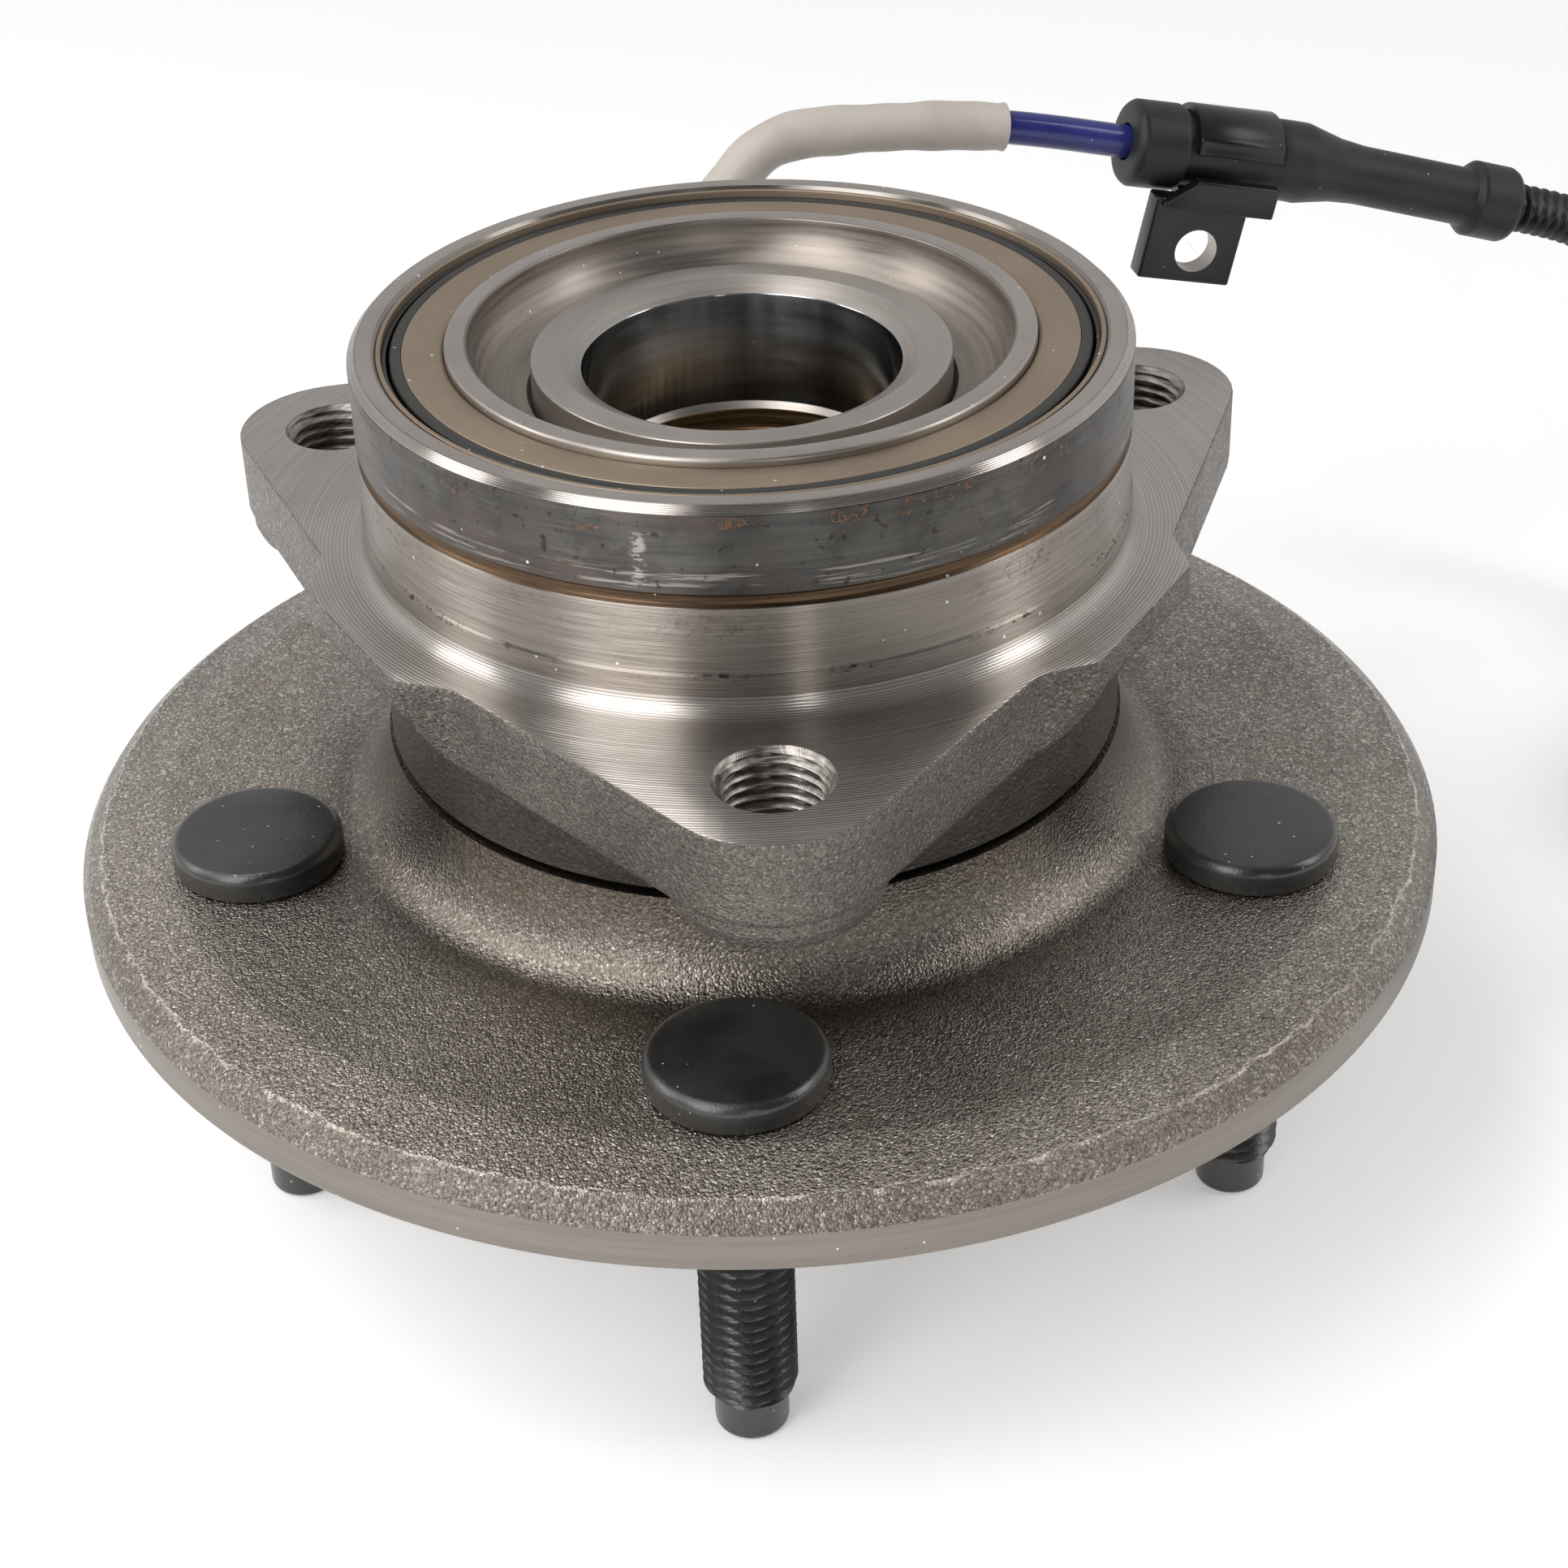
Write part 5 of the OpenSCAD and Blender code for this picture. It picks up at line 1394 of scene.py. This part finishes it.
def softLight(name, look):
    # a long softbox between two points, facing the hub
    low, high = Vector(look["low"]) * mm, Vector(look["high"]) * mm
    middle, along = (low + high) / 2, (high - low).normalized()
    away = middle - along * middle.dot(along)
    away.normalize()
    data = bpy.data.lights.new(name, "AREA")
    data.shape = "RECTANGLE"
    data.size, data.size_y = look["width"] * mm, (high - low).length
    data.energy = look["glow"] * math.pi * data.size * data.size_y
    turn = Matrix((along.cross(away), along, away)).transposed()
    newObject(name, data).matrix_world = Matrix.Translation(middle) @ turn.to_4x4()


def buildWorld():
    # the camera sees white; the metal sees a pale backdrop that darkens overhead and to the front
    world = bpy.data.worlds.new("studio")
    world.use_nodes = True
    tree = world.node_tree
    coordinates = tree.nodes.new("ShaderNodeTexCoord")
    direction = tree.nodes.new("ShaderNodeSeparateXYZ")
    tree.links.new(coordinates.outputs["Generated"], direction.inputs[0])
    x, y, z = direction.outputs
    above = between(tree, y, -0.35, 0.50, studio["overhead"], studio["behind"])
    aside = product(tree, between(tree, maths(tree, "ABSOLUTE", x), 0.55, 0.80, 0, studio["sides"]),
                    between(tree, y, -0.15, 0.15))
    high = between(tree, z, 0.02, 0.22)
    horizon = product(tree, maths(tree, "SUBTRACT", 1, high), studio["horizon"])
    level = maths(tree, "ADD", product(tree, maths(tree, "ADD", above, aside), high), horizon)
    tone = tree.nodes.new("ShaderNodeCombineColor")
    for socket in tone.inputs:
        put(tree, socket, level)
    camera, direct = directRays(tree)
    seen = tree.nodes["Background"]
    put(tree, seen.inputs["Color"], blend(tree, camera, tone.outputs[0], (1, 1, 1)))
    fill = tree.nodes.new("ShaderNodeBackground")
    fill.inputs["Color"].default_value = (1, 1, 1, 1)
    fill.inputs["Strength"].default_value = studio["fill"]
    mix = tree.nodes.new("ShaderNodeMixShader")
    for socket, value in zip(mix.inputs, (direct, fill.outputs[0], seen.outputs[0])):
        put(tree, socket, value)
    put(tree, tree.nodes["World Output"].inputs["Surface"], mix.outputs[0])
    scene.world = world


buildFloor()
for side in ("key", "keyTop", "left", "right", "strip"):
    softLight(side + "Lamp", studio[side])
buildWorld()
scene.view_settings.view_transform = "Standard"
print("studio built")

# Solids that stay as they are get their finish
nodeFinishes = {
    "outboard_seal_case": slingerSteel, "outboard_seal_lip": sealRubber, "sensor_o_ring": blackRubber,
    "connector_pins": pinBrass, "connector_seal": sealRed, "outboard_ring": groundSteel,
    "tone_ring": cageSteel, "inboard_rollers": rollerSteel, "outboard_rollers": rollerSteel,
    "inboard_cage": cageSteel, "outboard_cage": cageSteel,
}
for name, material in nodeFinishes.items():
    nodes[name].data.materials.clear()
    nodes[name].data.materials.append(material)
